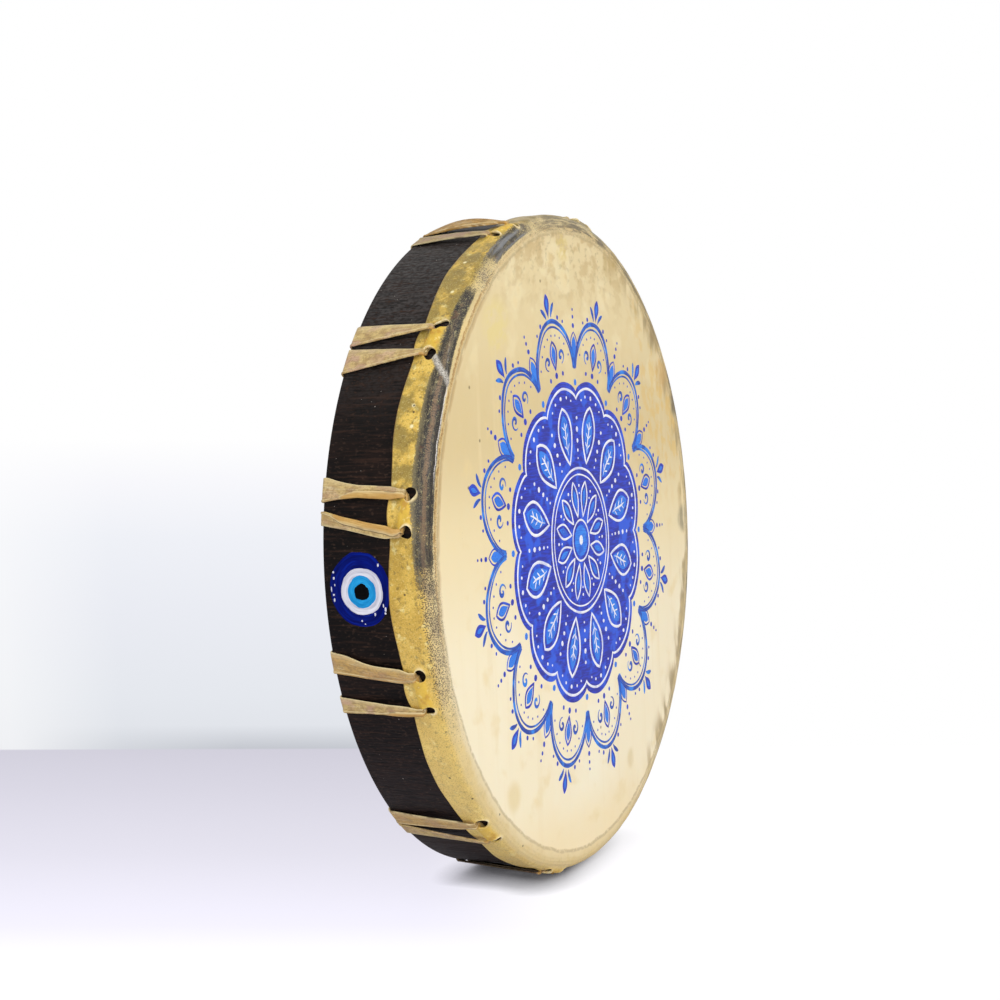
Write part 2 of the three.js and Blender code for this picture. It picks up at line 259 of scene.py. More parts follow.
def addCamera():
    a = math.radians(view["azimuth"])
    e = math.radians(view["elevation"])
    back = Vector((math.sin(a) * math.cos(e), -math.cos(a) * math.cos(e), math.sin(e)))
    roll = Matrix.Rotation(math.radians(view["roll"]), 3, back)
    level = (-back).cross(Vector((0, 0, 1))).normalized()
    right = roll @ level
    up = roll @ level.cross(-back)
    lens = bpy.data.cameras.new("camera")
    lens.lens = view["lens"]
    lens.sensor_width = view["sensor"]
    camera = bpy.data.objects.new("camera", lens)
    bpy.context.scene.collection.objects.link(camera)
    shift = back * view["distance"] + right * view["right"] + up * view["up"]
    camera.location = onDrum(0, 0, 0) + shift * mm
    camera.rotation_mode = "QUATERNION"
    camera.rotation_quaternion = Matrix((right, up, back)).transposed().to_quaternion()
    bpy.context.scene.camera = camera


addCamera()
print("camera done")


# Floor and light: white paper on a table, the drum leaning back on its lacing by the floor's slope
room = {
    "slope": 2.4,  # degrees, how far the drum leans back
    "touchDepth": 11.8,  # playing face to the lowest lace
    "size": 30000,
    "standpoint": (-963, -448),  # distances on the floor are from here
    "heading": 26.02,  # degrees, from +X towards +Y
    "wallDistance": 1387,  # to the foot of the wall
    "floorStart": 860,  # the floor greys from here to the wall
    "footWidth": 6,  # over which floor turns to wall
    "cornerShade": 18,  # how far the drum's soft shade reaches
    "worldLight": 0.72,
    "softboxes": [("key", (-0.75, -1.3, 1.25), 1.1, 12), ("fill", (-1.6, -0.5, 0.35), 1.3, 7)],  # m and W
}

# What the paper looks like. A height on the wall is its foot's distance over the distance ahead, and
# bearings are the distance aside over the one ahead, growing to the right
# Its tones are painted light and shade: greyer towards the wall's foot, white to the right, paler to the far
# left
paper = {
    "wallTones": [(0.12, "#ffffff"), (0.24, "#f8f8fc"), (0.4, "#eff1f7"), (0.6, "#eaecf3"), (0.85, "#e5e8ee"),
                  (1.0, "#dfe2e8")],
    "floorTones": [(0.0, "#ffffff"), (0.12, "#f0eefa"), (0.4, "#e0dee9"), (0.75, "#d3d1dc"),
                   (1.0, "#cbc9d4")],
    "litBearings": (-0.06, 0.04),  # wall and floor turn white over these
    "leftBearings": (-0.23, -0.295, 0.5),  # the wall pales by this share
    # painted shadow of the drum on the wall's foot, over these bearings and heights
    "dimBearings": (-0.29, -0.16, 0.55),  # the wall's foot dims by this share
    "dimHeights": (0.93, 1.0),
    "shadelessBearings": (0.03, 0.065, 0.8),  # the drum's soft shade fades by this share
    "dimTone": "#a8abb4",
    "litFloorTone": "#fbfafb",
    "shadowTone": "#4a4852",
    "tone": "#d9d7df",
}


def paperFloor(material, tree, shader):
    # Matt white paper: no gloss, lilac in the shade, and painted shade that greys it towards the foot of the
    # wall
    def mapped(value, start, full, share=1.0, **settings):
        inputs = {0: value, 1: start, 2: full, 4: share}
        return addNode(tree, "MapRange", inputs, **settings).outputs[0]

    def mixed(share, first, code):
        return addNode(tree, "Mix", {0: share, 6: first, 7: colour(code)}, data_type="RGBA").outputs[2]

    standX, standY = (v * mm for v in room["standpoint"])
    turn = math.radians(room["heading"])
    place = addNode(tree, "NewGeometry").outputs["Position"]
    moved = addNode(tree, "VectorMath", {0: place, 1: (standX, standY, 0)}, operation="SUBTRACT").outputs[0]
    directions = ((math.cos(turn), math.sin(turn), 0), (math.sin(turn), -math.cos(turn), 0))
    ahead, aside = (
        addNode(tree, "VectorMath", {0: moved, 1: direction}, operation="DOT_PRODUCT").outputs["Value"]
        for direction in directions)
    foot = room["wallDistance"] * mm
    bearing = addNode(tree, "Math", {0: aside, 1: ahead}, operation="DIVIDE").outputs[0]
    height = addNode(tree, "Math", {0: foot, 1: ahead}, operation="DIVIDE").outputs[0]
    lit = mapped(bearing, *paper["litBearings"], interpolation_type="SMOOTHSTEP")

    wall = addNode(tree, "ValToRGB", {0: height}, ramp=paper["wallTones"]).outputs[0]
    wall = mixed(mapped(bearing, *paper["leftBearings"]), wall, "#ffffff")
    # painted shadow of the drum on the foot of the wall
    dim = mapped(bearing, *paper["dimBearings"])
    wall = mixed(mapped(height, *paper["dimHeights"], dim), wall, paper["dimTone"])
    wall = mixed(lit, wall, "#ffffff")
    wallGlow = addNode(tree, "Emission", {"Color": wall, "Strength": 1.0}).outputs[0]

    near = mapped(ahead, room["floorStart"] * mm, foot)
    lift = addNode(tree, "ValToRGB", {0: near}, ramp=paper["floorTones"]).outputs[0]
    lift = mixed(lit, lift, paper["litFloorTone"])
    # painted contact shadow: ambient occlusion dims the floor's glow next to the drum, less to its right
    clear = addNode(tree, "AmbientOcclusion", {"Distance": room["cornerShade"] * mm}, samples=8).outputs["AO"]
    unshaded = mapped(bearing, *paper["shadelessBearings"])
    clear = addNode(tree, "Mix", {0: unshaded, 2: clear, 3: 1.0}, data_type="FLOAT").outputs[0]
    glow = addNode(tree, "Emission", {"Color": lift, "Strength": clear}).outputs[0]
    shade = addNode(tree, "BsdfDiffuse", {"Color": colour(paper["shadowTone"])}).outputs[0]
    table = addNode(tree, "AddShader", {0: shade, 1: glow}).outputs[0]

    beyond = mapped(ahead, foot, foot + room["footWidth"] * mm)
    picture = addNode(tree, "MixShader", {0: beyond, 1: table, 2: wallGlow}).outputs[0]
    shader.inputs["Base Color"].default_value = colour(paper["tone"])
    shader.inputs["Roughness"].default_value = 0.9
    shader.inputs["Specular IOR Level"].default_value = 0.1
    seen = addNode(tree, "LightPath").outputs["Is Camera Ray"]
    shown = addNode(tree, "MixShader", {0: seen, 1: shader.outputs[0], 2: picture}).outputs[0]
    out = next(n for n in tree.nodes if n.type == "OUTPUT_MATERIAL")
    tree.links.new(shown, out.inputs["Surface"])
    return material


def addRoom():
    half = room["size"] / 2 * mm
    slope = math.tan(math.radians(room["slope"]))
    touch = facePlane + room["touchDepth"] * mm
    corners = [(x, y, slope * (y - touch))
               for x, y in ((-half, -half), (half, -half), (half, half), (-half, half))]
    mesh = bpy.data.meshes.new("paper_floor")
    mesh.from_pydata(corners, [], [(0, 1, 2, 3)])
    mesh.materials.append(paperFloor(*newMaterial("matt paper")))
    floor = bpy.data.objects.new("paper_floor", mesh)
    bpy.context.scene.collection.objects.link(floor)

    world = bpy.data.worlds.new("studio")
    world.use_nodes = True
    bpy.context.scene.world = world
    tree = world.node_tree
    tree.nodes.clear()
    rays = addNode(tree, "LightPath").outputs
    seen = addNode(tree, "Math", {0: rays["Is Camera Ray"], 1: rays["Is Transmission Ray"]},
                   operation="MAXIMUM").outputs[0]
    lamp = addNode(tree, "Background", {"Color": (1, 1, 1, 1), "Strength": room["worldLight"]})
    backdrop = addNode(tree, "Background", {"Color": (1, 1, 1, 1), "Strength": 1.0})
    mixed = addNode(tree, "MixShader", {0: seen, 1: lamp.outputs[0], 2: backdrop.outputs[0]})
    addNode(tree, "OutputWorld", {"Surface": mixed.outputs[0]})

    middle = onDrum(0, 0, drum["depth"] / 2)
    for name, place, size, power in room["softboxes"]:
        light = bpy.data.lights.new(name, "AREA")
        light.shape = "SQUARE"
        light.size = size
        light.energy = power
        softbox = bpy.data.objects.new(name, light)
        softbox.location = place
        softbox.rotation_mode = "QUATERNION"
        softbox.rotation_quaternion = (middle - softbox.location).to_track_quat("-Z", "Y")
        bpy.context.scene.collection.objects.link(softbox)


addRoom()
print("room done")


# Hoop
hoop = {
    "outerRadius": 198.45,
    "wall": 8,
    "backCorner": 1.2,
    "edgeMiddle": 8,  # the rounded front edge turns about this depth, and this far in from the head
    "edgeSteps": 8,
    "rows": [18, 30, 42, 54],  # depths between its front edge and its back corners
    "innerEdge": 4,
    "innerRound": (0.8, 0.2),  # its inner front corner, outwards and back
    "segments": 360,
    "cornerSteps": 4,
    "waver": 0.1,
    "scarfAngle": 236,
    "scarfLength": 60,
    "scarfStep": 0.22,
}


# Bending plywood, brush-stained nearly black and waxed: fine grain along the drum's depth, browner where
# the stain took less, painted sheen greying the top, painted floor light lifting the bottom, and specks of
# dust
stainedPlywood = {
    "name": "stained bending plywood",
    "clouds": {"grain": (1.5, 26, 1.5, 3), "pores": (0.9, 9, 0.9, 2), "patch": (34, 34, 34, 2),
               "weave": (1.4, 2.6, 1.4, 3), "dust": (1.4, 1.4, 1.4, 0)},
    "coats": ["#0b0605", ("#1b100c", 1, ("patch", 0.42, 0.68)), ("#322119", 0.8, ("grain", 0.48, 0.7)),
              # painted light: greyer and lighter towards the bottom, where the pale floor lights the hoop
              ("#2c2324", 0.55, ("z", 0.16, 0.05)),
              # painted sheen: grey towards the top, where the hoop faces the sky
              ("#55514f", 0.65, ("z", 0.26, 0.375), ("weave", 0.7, 0.35)),
              ("#46342a", 0.5, ("weave", 0.54, 0.72)), ("#050404", 0.9, ("pores", 0.5, 0.72)),
              ("#948c84", 1, ("dust", 0.86, 0.89))],
    "rough": ("grain", 0.3, 0.7, 0.4, 0.62),
    "relief": {"grain": 1, "pores": -1},
    "strength": 0.9,
    "deep": 0.32,
    "sockets": {"IOR": 1.5, "Specular IOR Level": 0.12},
}

# The sawn back edge of the plywood: stain soaks into the end grain of every other ply
plyEdge = {
    "name": "stained plywood edge",
    "marks": ["wallShare"],
    "clouds": {"wander": (30, 30, 30, 2), "fibre": (1.1, 1.1, 1.1, 2)},
    "sums": {"ply": ("wander", 0.08, "wallShare")},
    "coats": ["#15100e", *(("#3d2a1e", 1, ("ply", start, start + 0.02), ("ply", start + 0.2, start + 0.18))
                           for start in (0.2, 0.6)), ("#54402f", 0.4, ("fibre", 0.35, 0.75))],
    "rough": ("fibre", 0.3, 0.7, 0.65, 0.75),
    "relief": {"fibre": 1},
    "strength": 0.4,
    "deep": 0.2,
}


def hoopSection():
    outer = hoop["outerRadius"]
    inner = outer - hoop["wall"]
    middle = drum["headRadius"] - hoop["edgeMiddle"]
    frontRound = outer - middle
    corner = hoop["backCorner"]
    depth = drum["depth"]
    section = []
    for k in range(hoop["edgeSteps"] + 1):
        a = math.pi / 2 * k / hoop["edgeSteps"]
        section.append((middle + frontRound * math.sin(a), hoop["edgeMiddle"] - frontRound * math.cos(a)))
    section += [(outer, d) for d in hoop["rows"]]
    for k in range(hoop["cornerSteps"] + 1):
        a = math.pi / 2 * k / hoop["cornerSteps"]
        section.append((outer - corner + corner * math.cos(a), depth - corner + corner * math.sin(a)))
    for k in range(hoop["cornerSteps"] + 1):
        a = math.pi / 2 * k / hoop["cornerSteps"]
        section.append((inner + corner - corner * math.sin(a), depth - corner + corner * math.cos(a)))
    section += [(inner, d) for d in (*hoop["rows"][::-1], hoop["innerEdge"])]
    section.append((inner + hoop["innerRound"][0], section[0][1] + hoop["innerRound"][1]))
    return section


def makeHoop():
    section = hoopSection()
    count = len(section)
    points = []
    shares = []
    for k in range(hoop["segments"]):
        angle = 360 * k / hoop["segments"]
        past = turnBetween(angle, hoop["scarfAngle"]) * math.radians(1) * hoop["outerRadius"]
        lap = hoop["scarfStep"] * clamp(1 - past / hoop["scarfLength"]) if past >= 0 else 0
        for radius, depth in section:
            outside = smooth(radius, hoop["outerRadius"] - hoop["wall"], hoop["outerRadius"])
            waver = hoop["waver"] * ripple(angle / 17, depth / 25, outside)
            points.append(onDrum(radius + waver - hoop["waver"] + lap * (2 * outside - 1), angle, depth))
            shares.append((hoop["outerRadius"] - radius) / hoop["wall"])
    faces = []
    for k in range(hoop["segments"]):
        faces += bridge(ringNumbers(k, count), ringNumbers((k + 1) % hoop["segments"], count))
    sawn = hoop["edgeSteps"] + 1 + len(hoop["rows"]) + hoop["cornerSteps"]  # flat of the back edge
    materialOf = [int(k % count == sawn) for k in range(len(faces))]
    piece = addPiece("bent_hoop", points, faces, [makeFinish(stainedPlywood), makeFinish(plyEdge)],
                     {"wallShare": shares}, materialOf, sharpAngle=50)
    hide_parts("hoop")


makeHoop()
print("hoop done")


# Rawhide head
head = {
    "skin": 1.2,
    "edgeRadius": 8,
    "skirtDepth": 19.5,
    "skirtSwell": 2.8,
    "earReach": 2.6,
    "earSpread": 1.1,
    "edgeWander": 0.35,
    "holeDepth": 9.2,
    "holeSpacing": 20,
    "holeDiameter": 6.7,
    "holeNudges": {(0, -1): (0, 0.9), (0, 1): (0, -0.9), (1, -1): (0.2, 1.1), (1, 1): (0, 0),
                   (2, -1): (0.2, 1.9), (2, 1): (-0.2, -2.1), (10, -1): (0.3, -1.5), (10, 1): (0, -0.9),
                   (11, -1): (0, 0), (11, 1): (0, 1)},  # degrees round the drum, mm back
    "patchHalf": 4.6,  # square of finer mesh round each hole: half of it round the drum, and down it
    "patchDown": 5,
    "patchSteps": 10,
    "outerHoleRings": [0.3, 0.52, 0.7, 0.83, 0.92, 1.0],  # shares of the way from the square to the hole
    "innerHoleRings": [0.6, 1.0],
    "columnsInPair": 8,
    "columnsBetween": 22,
    "edgeRows": 12,
    "skirtRows": 6,
    "innerRows": (4, 2),  # of the inner skin, over the edge and down the skirt
    "lumpHeight": 1.95,  # over the lace that passes under the hide
    "lumpSides": (0.74, 1.5),  # flat up to the first and gone at the second, in half spacings
    "lumpReach": (1.6, 6.4),
    "lumpBelow": 1,  # its middle is this far behind the row of holes
    "lipHeight": 0.35,
    "lipWidth": 0.9,
    "ridgeHeight": 0.1,
    "ridgePitch": 2.3,
    "wrinkle": 0.16,
    "creaseHeight": 0.75,
    "armHeight": 0.2,
    "creaseWidth": 1.2,
    "edgeCurl": 0.15,
    "outerTuck": 0.35,  # the outer and inner skins stop this short of the cut edge
    "innerTuck": 0.5,
    "cutEdge": [(-0.08, 0.25), (0, 0.6), (-0.15, 0.95)],  # past the free edge, into the skin
    "faceRings": [190, 184, 172, 150, 120, 80, 36],
    "innerRings": [188, 172, 140, 90, 40],
    "dish": 0.32,  # face below its edge, so that paint on it is no prouder than the edge
    "dishWidth": 9,
}
head["halfHole"] = math.degrees(head["holeSpacing"] / 2 / drum["headRadius"])
head["arc"] = head["edgeRadius"] * math.pi / 2  # along the rounded edge

farAway = 99.0  # mm, past the reach of every mark

# Crease from a hole to the rim, painted glints of blisters, and pinholes,
# as (degrees, mm down from the face's edge)
crease = [(33.6, 13.4), (31.6, 8.6), (30.4, 4.2), (29.6, 2.5)]
creaseArm = [(36.2, 7.2), (33.4, 5.6), (30.6, 4.4)]
blisterGlints = [(25.2, 19.2), (21.8, 18.3), (55.3, 19.7), (47.2, 17.0)]
pinholes = [(25.2, 19.0), (24.1, 18.5), (-3.6, 19.0), (-35.2, 16.4), (-40.2, 9.0), (-47.8, -0.2),
            (-59.0, 2.5)]


def holePlace(pair, side):
    turn, back = head["holeNudges"].get((pair, side), (0, 0))
    angle = pairAngle(pair) + side * head["halfHole"] + turn
    depth = head["holeDepth"] + sway(pairAngle(pair)) + back
    return angle, depth - head["edgeRadius"] + head["arc"]


holes = [(pair, side, *holePlace(pair, side)) for pair in range(drum["pairs"]) for side in (-1, 1)]
# Shape of each hole: how stretched it is and which way in degrees (90 is towards the back), how
# pointed, its size against the others, the way in which the lace leaves it, and where its lip is thick
holeLooks = {
    (1, 1): (0.32, 121, 0.04, 1.14, 121, 10),
    (1, -1): (0.06, 60, 0.06, 1.1, 80, 30),
    (0, 1): (0.05, 170, 0.08, 1.08, 90, -135),
    (0, -1): (0.05, 100, 0.08, 1.04, 100, -20),
    (11, 1): (0.02, 90, 0.0, 1.0, 100, 0),
    (11, -1): (0.22, 105, 0.06, 0.88, 105, -120),
    (10, 1): (0.12, 105, 0.03, 1.0, 100, -60),
    (10, -1): (0.3, 95, 0.03, 0.9, 95, -60),
    (2, -1): (0.3, 75, 0.03, 0.95, 90, -40),
}
for number, (pair, side, *_) in enumerate(holes):
    dice = random.Random(40 + number)
    stretch, tilt, point = dice.uniform(0.02, 0.2), dice.uniform(60, 120), dice.uniform(0, 0.06)
    holeLooks.setdefault((pair, side), (stretch, tilt, point, 1.0, 90, dice.uniform(-180, 0)))


def holeLine(angle):  # distance down to the row of holes, gliding from hole to hole
    for k, (_, _, here, down) in enumerate(holes):
        _, _, nextAngle, nextDown = holes[(k + 1) % len(holes)]
        gap = turnBetween(nextAngle, here)
        past = turnBetween(angle, here)
        if 0 <= past < gap:
            return lerp(down, nextDown, smooth(past / gap, 0.2, 0.8))
    return holes[0][3]


def stepsFromPair(angle):  # from the middle of the nearest pair, in half spacings
    turns = (turnBetween(angle, pairAngle(pair)) for pair in range(drum["pairs"]))
    return min(turns, key=abs) / head["halfHole"]


def freeEdge(angle):
    steps = stepsFromPair(angle)
    reach = 180 / drum["pairs"] / head["halfHole"]
    swell = head["skirtSwell"] * (1 - math.cos(math.pi * steps / reach)) / 2
    ear = head["earReach"] * max(0, 1 - (steps / head["earSpread"]) ** 2)
    wander = head["edgeWander"] * ripple(angle / 4, 3)
    return head["skirtDepth"] + sway(angle) + swell + ear + wander - head["edgeRadius"] + head["arc"]


def mmRound(turn):  # degrees to mm along the rim
    return math.radians(turn) * drum["headRadius"]


def holeRim(pair, side, direction):  # radius of a hole's outline towards a direction
    stretch, tilt, point, size, _, _ = holeLooks[pair, side]
    off = direction - math.radians(tilt)
    return head["holeDiameter"] / 2 * size * (1 + stretch * math.cos(2 * off) + point * math.cos(3 * off))


def nearHole(angle, down):  # mm from the edge of the nearest hole, and how much of its lip is there
    nearest, lip = farAway, 0.0
    for pair, side, at, holeDown in holes:
        turn = turnBetween(angle, at)
        if abs(turn) < 5:
            u, v = mmRound(turn), down - holeDown
            direction = math.atan2(v, u)
            rim = math.hypot(u, v) - holeRim(pair, side, direction)
            if rim < nearest:
                faces = max(0, math.cos(direction - math.radians(holeLooks[pair, side][5])))
                lip = clamp((1.25 - max(rim, 0) / (0.4 + 1.4 * faces ** 2)) * (0.35 + 0.65 * faces))
                nearest = rim
    return nearest, lip


def toLine(angle, down, line):  # mm to a polyline of (degrees, mm down)
    nearest = farAway
    for (a, b), (c, d) in zip(line, line[1:]):
        start = Vector((mmRound(a), b))
        leg = Vector((mmRound(c), d)) - start
        reach = Vector((mmRound(angle), down)) - start
        share = clamp(reach.dot(leg) / leg.length_squared)
        nearest = min(nearest, (reach - leg * share).length)
    return nearest


def lumpAt(angle, down):
    steps = stepsFromPair(angle)
    side = 1 - smooth(abs(steps), *head["lumpSides"])
    away = abs(down - holeLine(angle) - head["lumpBelow"])
    return head["lumpHeight"] * side * (1 - smooth(away, *head["lumpReach"]))


def reliefAt(angle, down):  # how far the outside stands off its plain shape
    edge = freeEdge(angle)
    rim, lip = nearHole(angle, down)
    rise = lumpAt(angle, down) * (1 + 0.12 * ripple(angle, down / 3))
    rise += head["lipHeight"] * math.exp(-((rim - 0.5) / head["lipWidth"]) ** 2) * (0.5 + 0.8 * lip)
    onSkirt = smooth(down, 1, 6)
    rise += head["wrinkle"] * onSkirt * ripple(angle / 3.4, down / 7)
    ridged = smooth(down, 0.6, 2) * (1 - smooth(down, 9, 13)) * smooth(rim, 0.5, 3)
    phase = 2 * math.pi * (down / head["ridgePitch"] + 0.5 * ripple(angle / 9, down / 14, 5))
    rise += head["ridgeHeight"] * ridged * math.sin(phase)
    angleHere = turnBetween(angle, 0)
    for height, line in ((head["creaseHeight"], crease), (head["armHeight"], creaseArm)):
        rise += height * math.exp(-(toLine(angleHere, down, line) / head["creaseWidth"]) ** 2)
    rise += head["edgeCurl"] * smooth(down, edge - 3, edge) * (1 + ripple(angle / 5, 9))
    return rise


def standOff(angle, down, inset):  # the inner skin follows the lumps alone
    return lumpAt(angle, down) if inset else reliefAt(angle, down)


def onSkin(angle, down, inset, relief):
    turn = clamp(down / head["edgeRadius"], 0, math.pi / 2)
    bend = head["edgeRadius"] - inset + relief
    radius = drum["headRadius"] - head["edgeRadius"] + min(down, 0) + bend * math.sin(turn)
    depth = head["edgeRadius"] + max(down - head["arc"], 0) - bend * math.cos(turn)
    depth += head["dish"] * smooth(-down, 0, head["dishWidth"])
    return onDrum(radius, angle, depth)


def headColumnAngles():
    w = math.degrees(head["patchHalf"] / drum["headRadius"])
    steps = head["patchSteps"]
    angles = []
    starts = {}
    for k, (pair, side, angle, _) in enumerate(holes):
        starts[pair, side] = len(angles)
        angles += [angle - w + 2 * w * j / steps for j in range(steps)]
        gap = turnBetween(holes[(k + 1) % len(holes)][2], angle) - 2 * w
        inner = head["columnsInPair"] if side == -1 else head["columnsBetween"]
        angles += [angle + w + gap * j / inner for j in range(inner)]
    return angles, starts


# Marks that the hide carries round the drum, by degrees: soot-dark pigment on the rounded edge and
# the span in mm down that it covers, a brown ridge and a painted highlight in it as a white line, haze
# and olive beside it, an amber line at the face, fine dark specks, and a dark line on the far side's edge
marksRound = {
    "soot": [(-180, 0.3), (-140, 0.05), (-100, 0), (-60, 0), (-30, 0.05), (-18, 0.25), (-6, 0.45), (1, 0.85),
             (12, 1), (46, 1), (50.5, 0.5), (54, 0.42), (59, 0.85), (64, 1), (69, 0.9), (74, 0.55),
             (84, 0.45), (100, 0.5), (125, 0.3), (150, 0.2), (180, 0.3)],
    "sootLow": [(-180, 1), (0, 0.5), (22, 0.7), (31, 1.8), (40, 3), (50, 2.6), (58, 0.6), (72, 0.8),
                (180, 1)],
    "sootHigh": [(-180, 9), (-30, 9), (-5, 13), (12, 15), (26, 14.6), (33, 12.6), (42, 12), (50, 11.4),
                 (57, 11.2), (72, 10), (90, 6), (180, 9)],
    "ridge": [(-180, 0), (-8, 0), (4, 0.8), (12, 1), (26, 1), (33, 0.5), (44, 0.2), (50, 0), (180, 0)],
    # white: a painted highlight, as a white line in the pigment
    "white": [(-180, 0), (11, 0), (16, 0.9), (28, 1), (31, 0.3), (33, 0), (180, 0)],
    "hazy": [(-180, 0), (50, 0), (58, 0.6), (63, 1), (68, 1), (74, 0), (180, 0)],
    "olive": [(-180, 0.3), (-20, 0), (-4, 0.2), (8, 0.6), (15, 0.9), (28, 1), (52, 1), (58, 0.7), (72, 0.8),
              (82, 1), (110, 1), (140, 0.6), (180, 0.3)],
    "amber": [(-180, 0.2), (-90, 0), (-24, 0), (-6, 0.5), (8, 0.9), (31, 1), (46, 0.8), (56, 0.3),
              (75, 0.3), (180, 0.2)],
    "specked": [(-180, 0.2), (-60, 0), (-36, 0), (-27, 0.5), (-18, 1), (-6, 1.15), (4, 0.7), (47, 0.3),
                (52, 1), (60, 0.5), (76, 0.7), (110, 0.7), (180, 0.2)],
    "dusk": [(-180, 1), (-130, 0.6), (-95, 0), (70, 0), (82, 0.7), (100, 1), (180, 1)],
}
spanMarks = ("sootLow", "sootHigh")
shellMarks = ["down", "rim", "lip", "toEdge", "crease", "lump"]  # worked out from the shape

fades = {  # mm over which the marks come and go, and two shares for the crease
    "sootLow": (-0.6, 1.4),
    "sootHigh": (-2.6, 2.4),
    "specksStart": (-5, -1),
    "specksEnd": (8, 13),
    "crease": 2.2,
    "arm": 1.6,
    "creaseStart": 1.2,
    "armFainter": 0.75,
}


class Shell:  # points of the hide with the marks that its finish needs
    def __init__(self):
        self.points = []
        self.faces = []
        self.marks = {key: [] for key in (*marksRound, *shellMarks, "round")}

    def add(self, angle, down, inset=0.0, relief=0.0):
        place = onSkin(angle, down, inset, relief)
        self.points.append(place)
        here = turnBetween(angle, 0)
        values = {key: along(profile, here) for key, profile in marksRound.items()}
        values["soot"] *= smooth(down - values["sootLow"], *fades["sootLow"])
        values["soot"] *= 1 - smooth(down - values["sootHigh"], *fades["sootHigh"])
        values["specked"] *= smooth(down, *fades["specksStart"]) * (1 - smooth(down, *fades["specksEnd"]))
        values["rim"], values["lip"] = nearHole(angle, down) if down > 0 else (9.0, 0.0)
        values["lump"] = lumpAt(angle, down) / head["lumpHeight"] if down > 0 else 0.0
        values["toEdge"] = freeEdge(angle) - down
        away = toLine(here, down, crease) / fades["crease"]
        awayFromArm = toLine(here, down, creaseArm) / fades["arm"]
        values["crease"] = clamp(fades["creaseStart"] - min(away, awayFromArm + fades["armFainter"]))
        values["down"] = down
        values["round"] = (place.x, place.z, down * mm)
        for key, value in values.items():
            self.marks[key].append(value)
        return len(self.points) - 1


def punchHole(shell, columns, rows, start, firstRow, pair, side, inset, angles, grid):
    # Rings from a square of the grid in to the hole's outline; returns the last ring
    steps = head["patchSteps"]
    at, holeDown = holePlace(pair, side)
    square = [(start + j, firstRow) for j in range(steps)]
    square += [(start + steps, firstRow + j) for j in range(steps)]
    square += [(start + j, firstRow + steps) for j in range(steps, 0, -1)]
    square += [(start, firstRow + j) for j in range(steps, 0, -1)]
    ring = [grid[c % columns][r] for c, r in square]
    for share in head["innerHoleRings" if inset else "outerHoleRings"]:
        nextRing = []
        for c, r in square:
            u = mmRound(turnBetween(angles[c % columns], at))
            v = rows[c % columns][r] - holeDown
            direction = math.atan2(v, u)
            rim = holeRim(pair, side, direction)
            angle = at + math.degrees(lerp(u, rim * math.cos(direction), share) / drum["headRadius"])
            down = holeDown + lerp(v, rim * math.sin(direction), share)
            nextRing.append(shell.add(angle, down, inset, standOff(angle, down, inset)))
        shell.faces += bridge(ring, nextRing)
        ring = nextRing
    return ring


def skinGrid(shell, angles, starts, inset, edgeRows, skirtRows):
    # One side of the hide from the face's edge to the free edge, with its holes left open
    rows = []
    grid = []
    steps = head["patchSteps"]
    for angle in angles:
        top = holeLine(angle) - head["patchDown"]
        bottom = holeLine(angle) + head["patchDown"]
        edge = freeEdge(angle) - (head["innerTuck"] if inset else head["outerTuck"])
        downs = [top * k / edgeRows for k in range(edgeRows)]
        downs += [lerp(top, bottom, k / steps) for k in range(steps)]
        downs += [lerp(bottom, edge, k / skirtRows) for k in range(skirtRows + 1)]
        rows.append(downs)
        grid.append([shell.add(angle, down, inset, standOff(angle, down, inset) * smooth(down, 0, 1))
                     for down in downs])
    count = len(angles)
    cut = {((start + j) % count, edgeRows + r) for start in starts.values() for j in range(steps)
           for r in range(steps)}
    for c in range(count):
        d = (c + 1) % count
        for r in range(len(rows[0]) - 1):
            if (c, r) not in cut:
                shell.faces.append((grid[c][r], grid[d][r], grid[d][r + 1], grid[c][r + 1]))
    rims = {}
    for (pair, side), start in starts.items():
        rims[pair, side] = punchHole(shell, count, rows, start, edgeRows, pair, side, inset, angles, grid)
    return grid, rims


def faceDisc(shell, angles, firstRing, radii, inset):
    # Flat face from its edge to the middle, halving the number of columns on the way in
    ring = firstRing
    used = angles
    for k, radius in enumerate(radii):
        halve = k > 0 and len(used) % 2 == 0 and len(used) > 100
        nextUsed = used[::2] if halve else used
        edge = drum["headRadius"] - head["edgeRadius"]
        nextRing = [shell.add(angle, radius - edge, inset) for angle in nextUsed]
        if halve:
            corners = zip(ring[::2], ring[1::2], ring[2::2] + ring[:1], nextRing, nextRing[1:] + nextRing[:1])
            for a, b, c, here, there in corners:
                shell.faces += [(a, b, here), (b, there, here), (b, c, there)]
        else:
            shell.faces += bridge(ring, nextRing)
        ring, used = nextRing, nextUsed
    shell.faces += fan(ring, shell.add(0, head["edgeRadius"] - drum["headRadius"], inset))


skirt = ("border", 1, 13)  # where coats lie that follow one part of the hide
sooty = ("carried", 2.1, 2.8)
lumpy = ("lump", 0.1, 0.8)
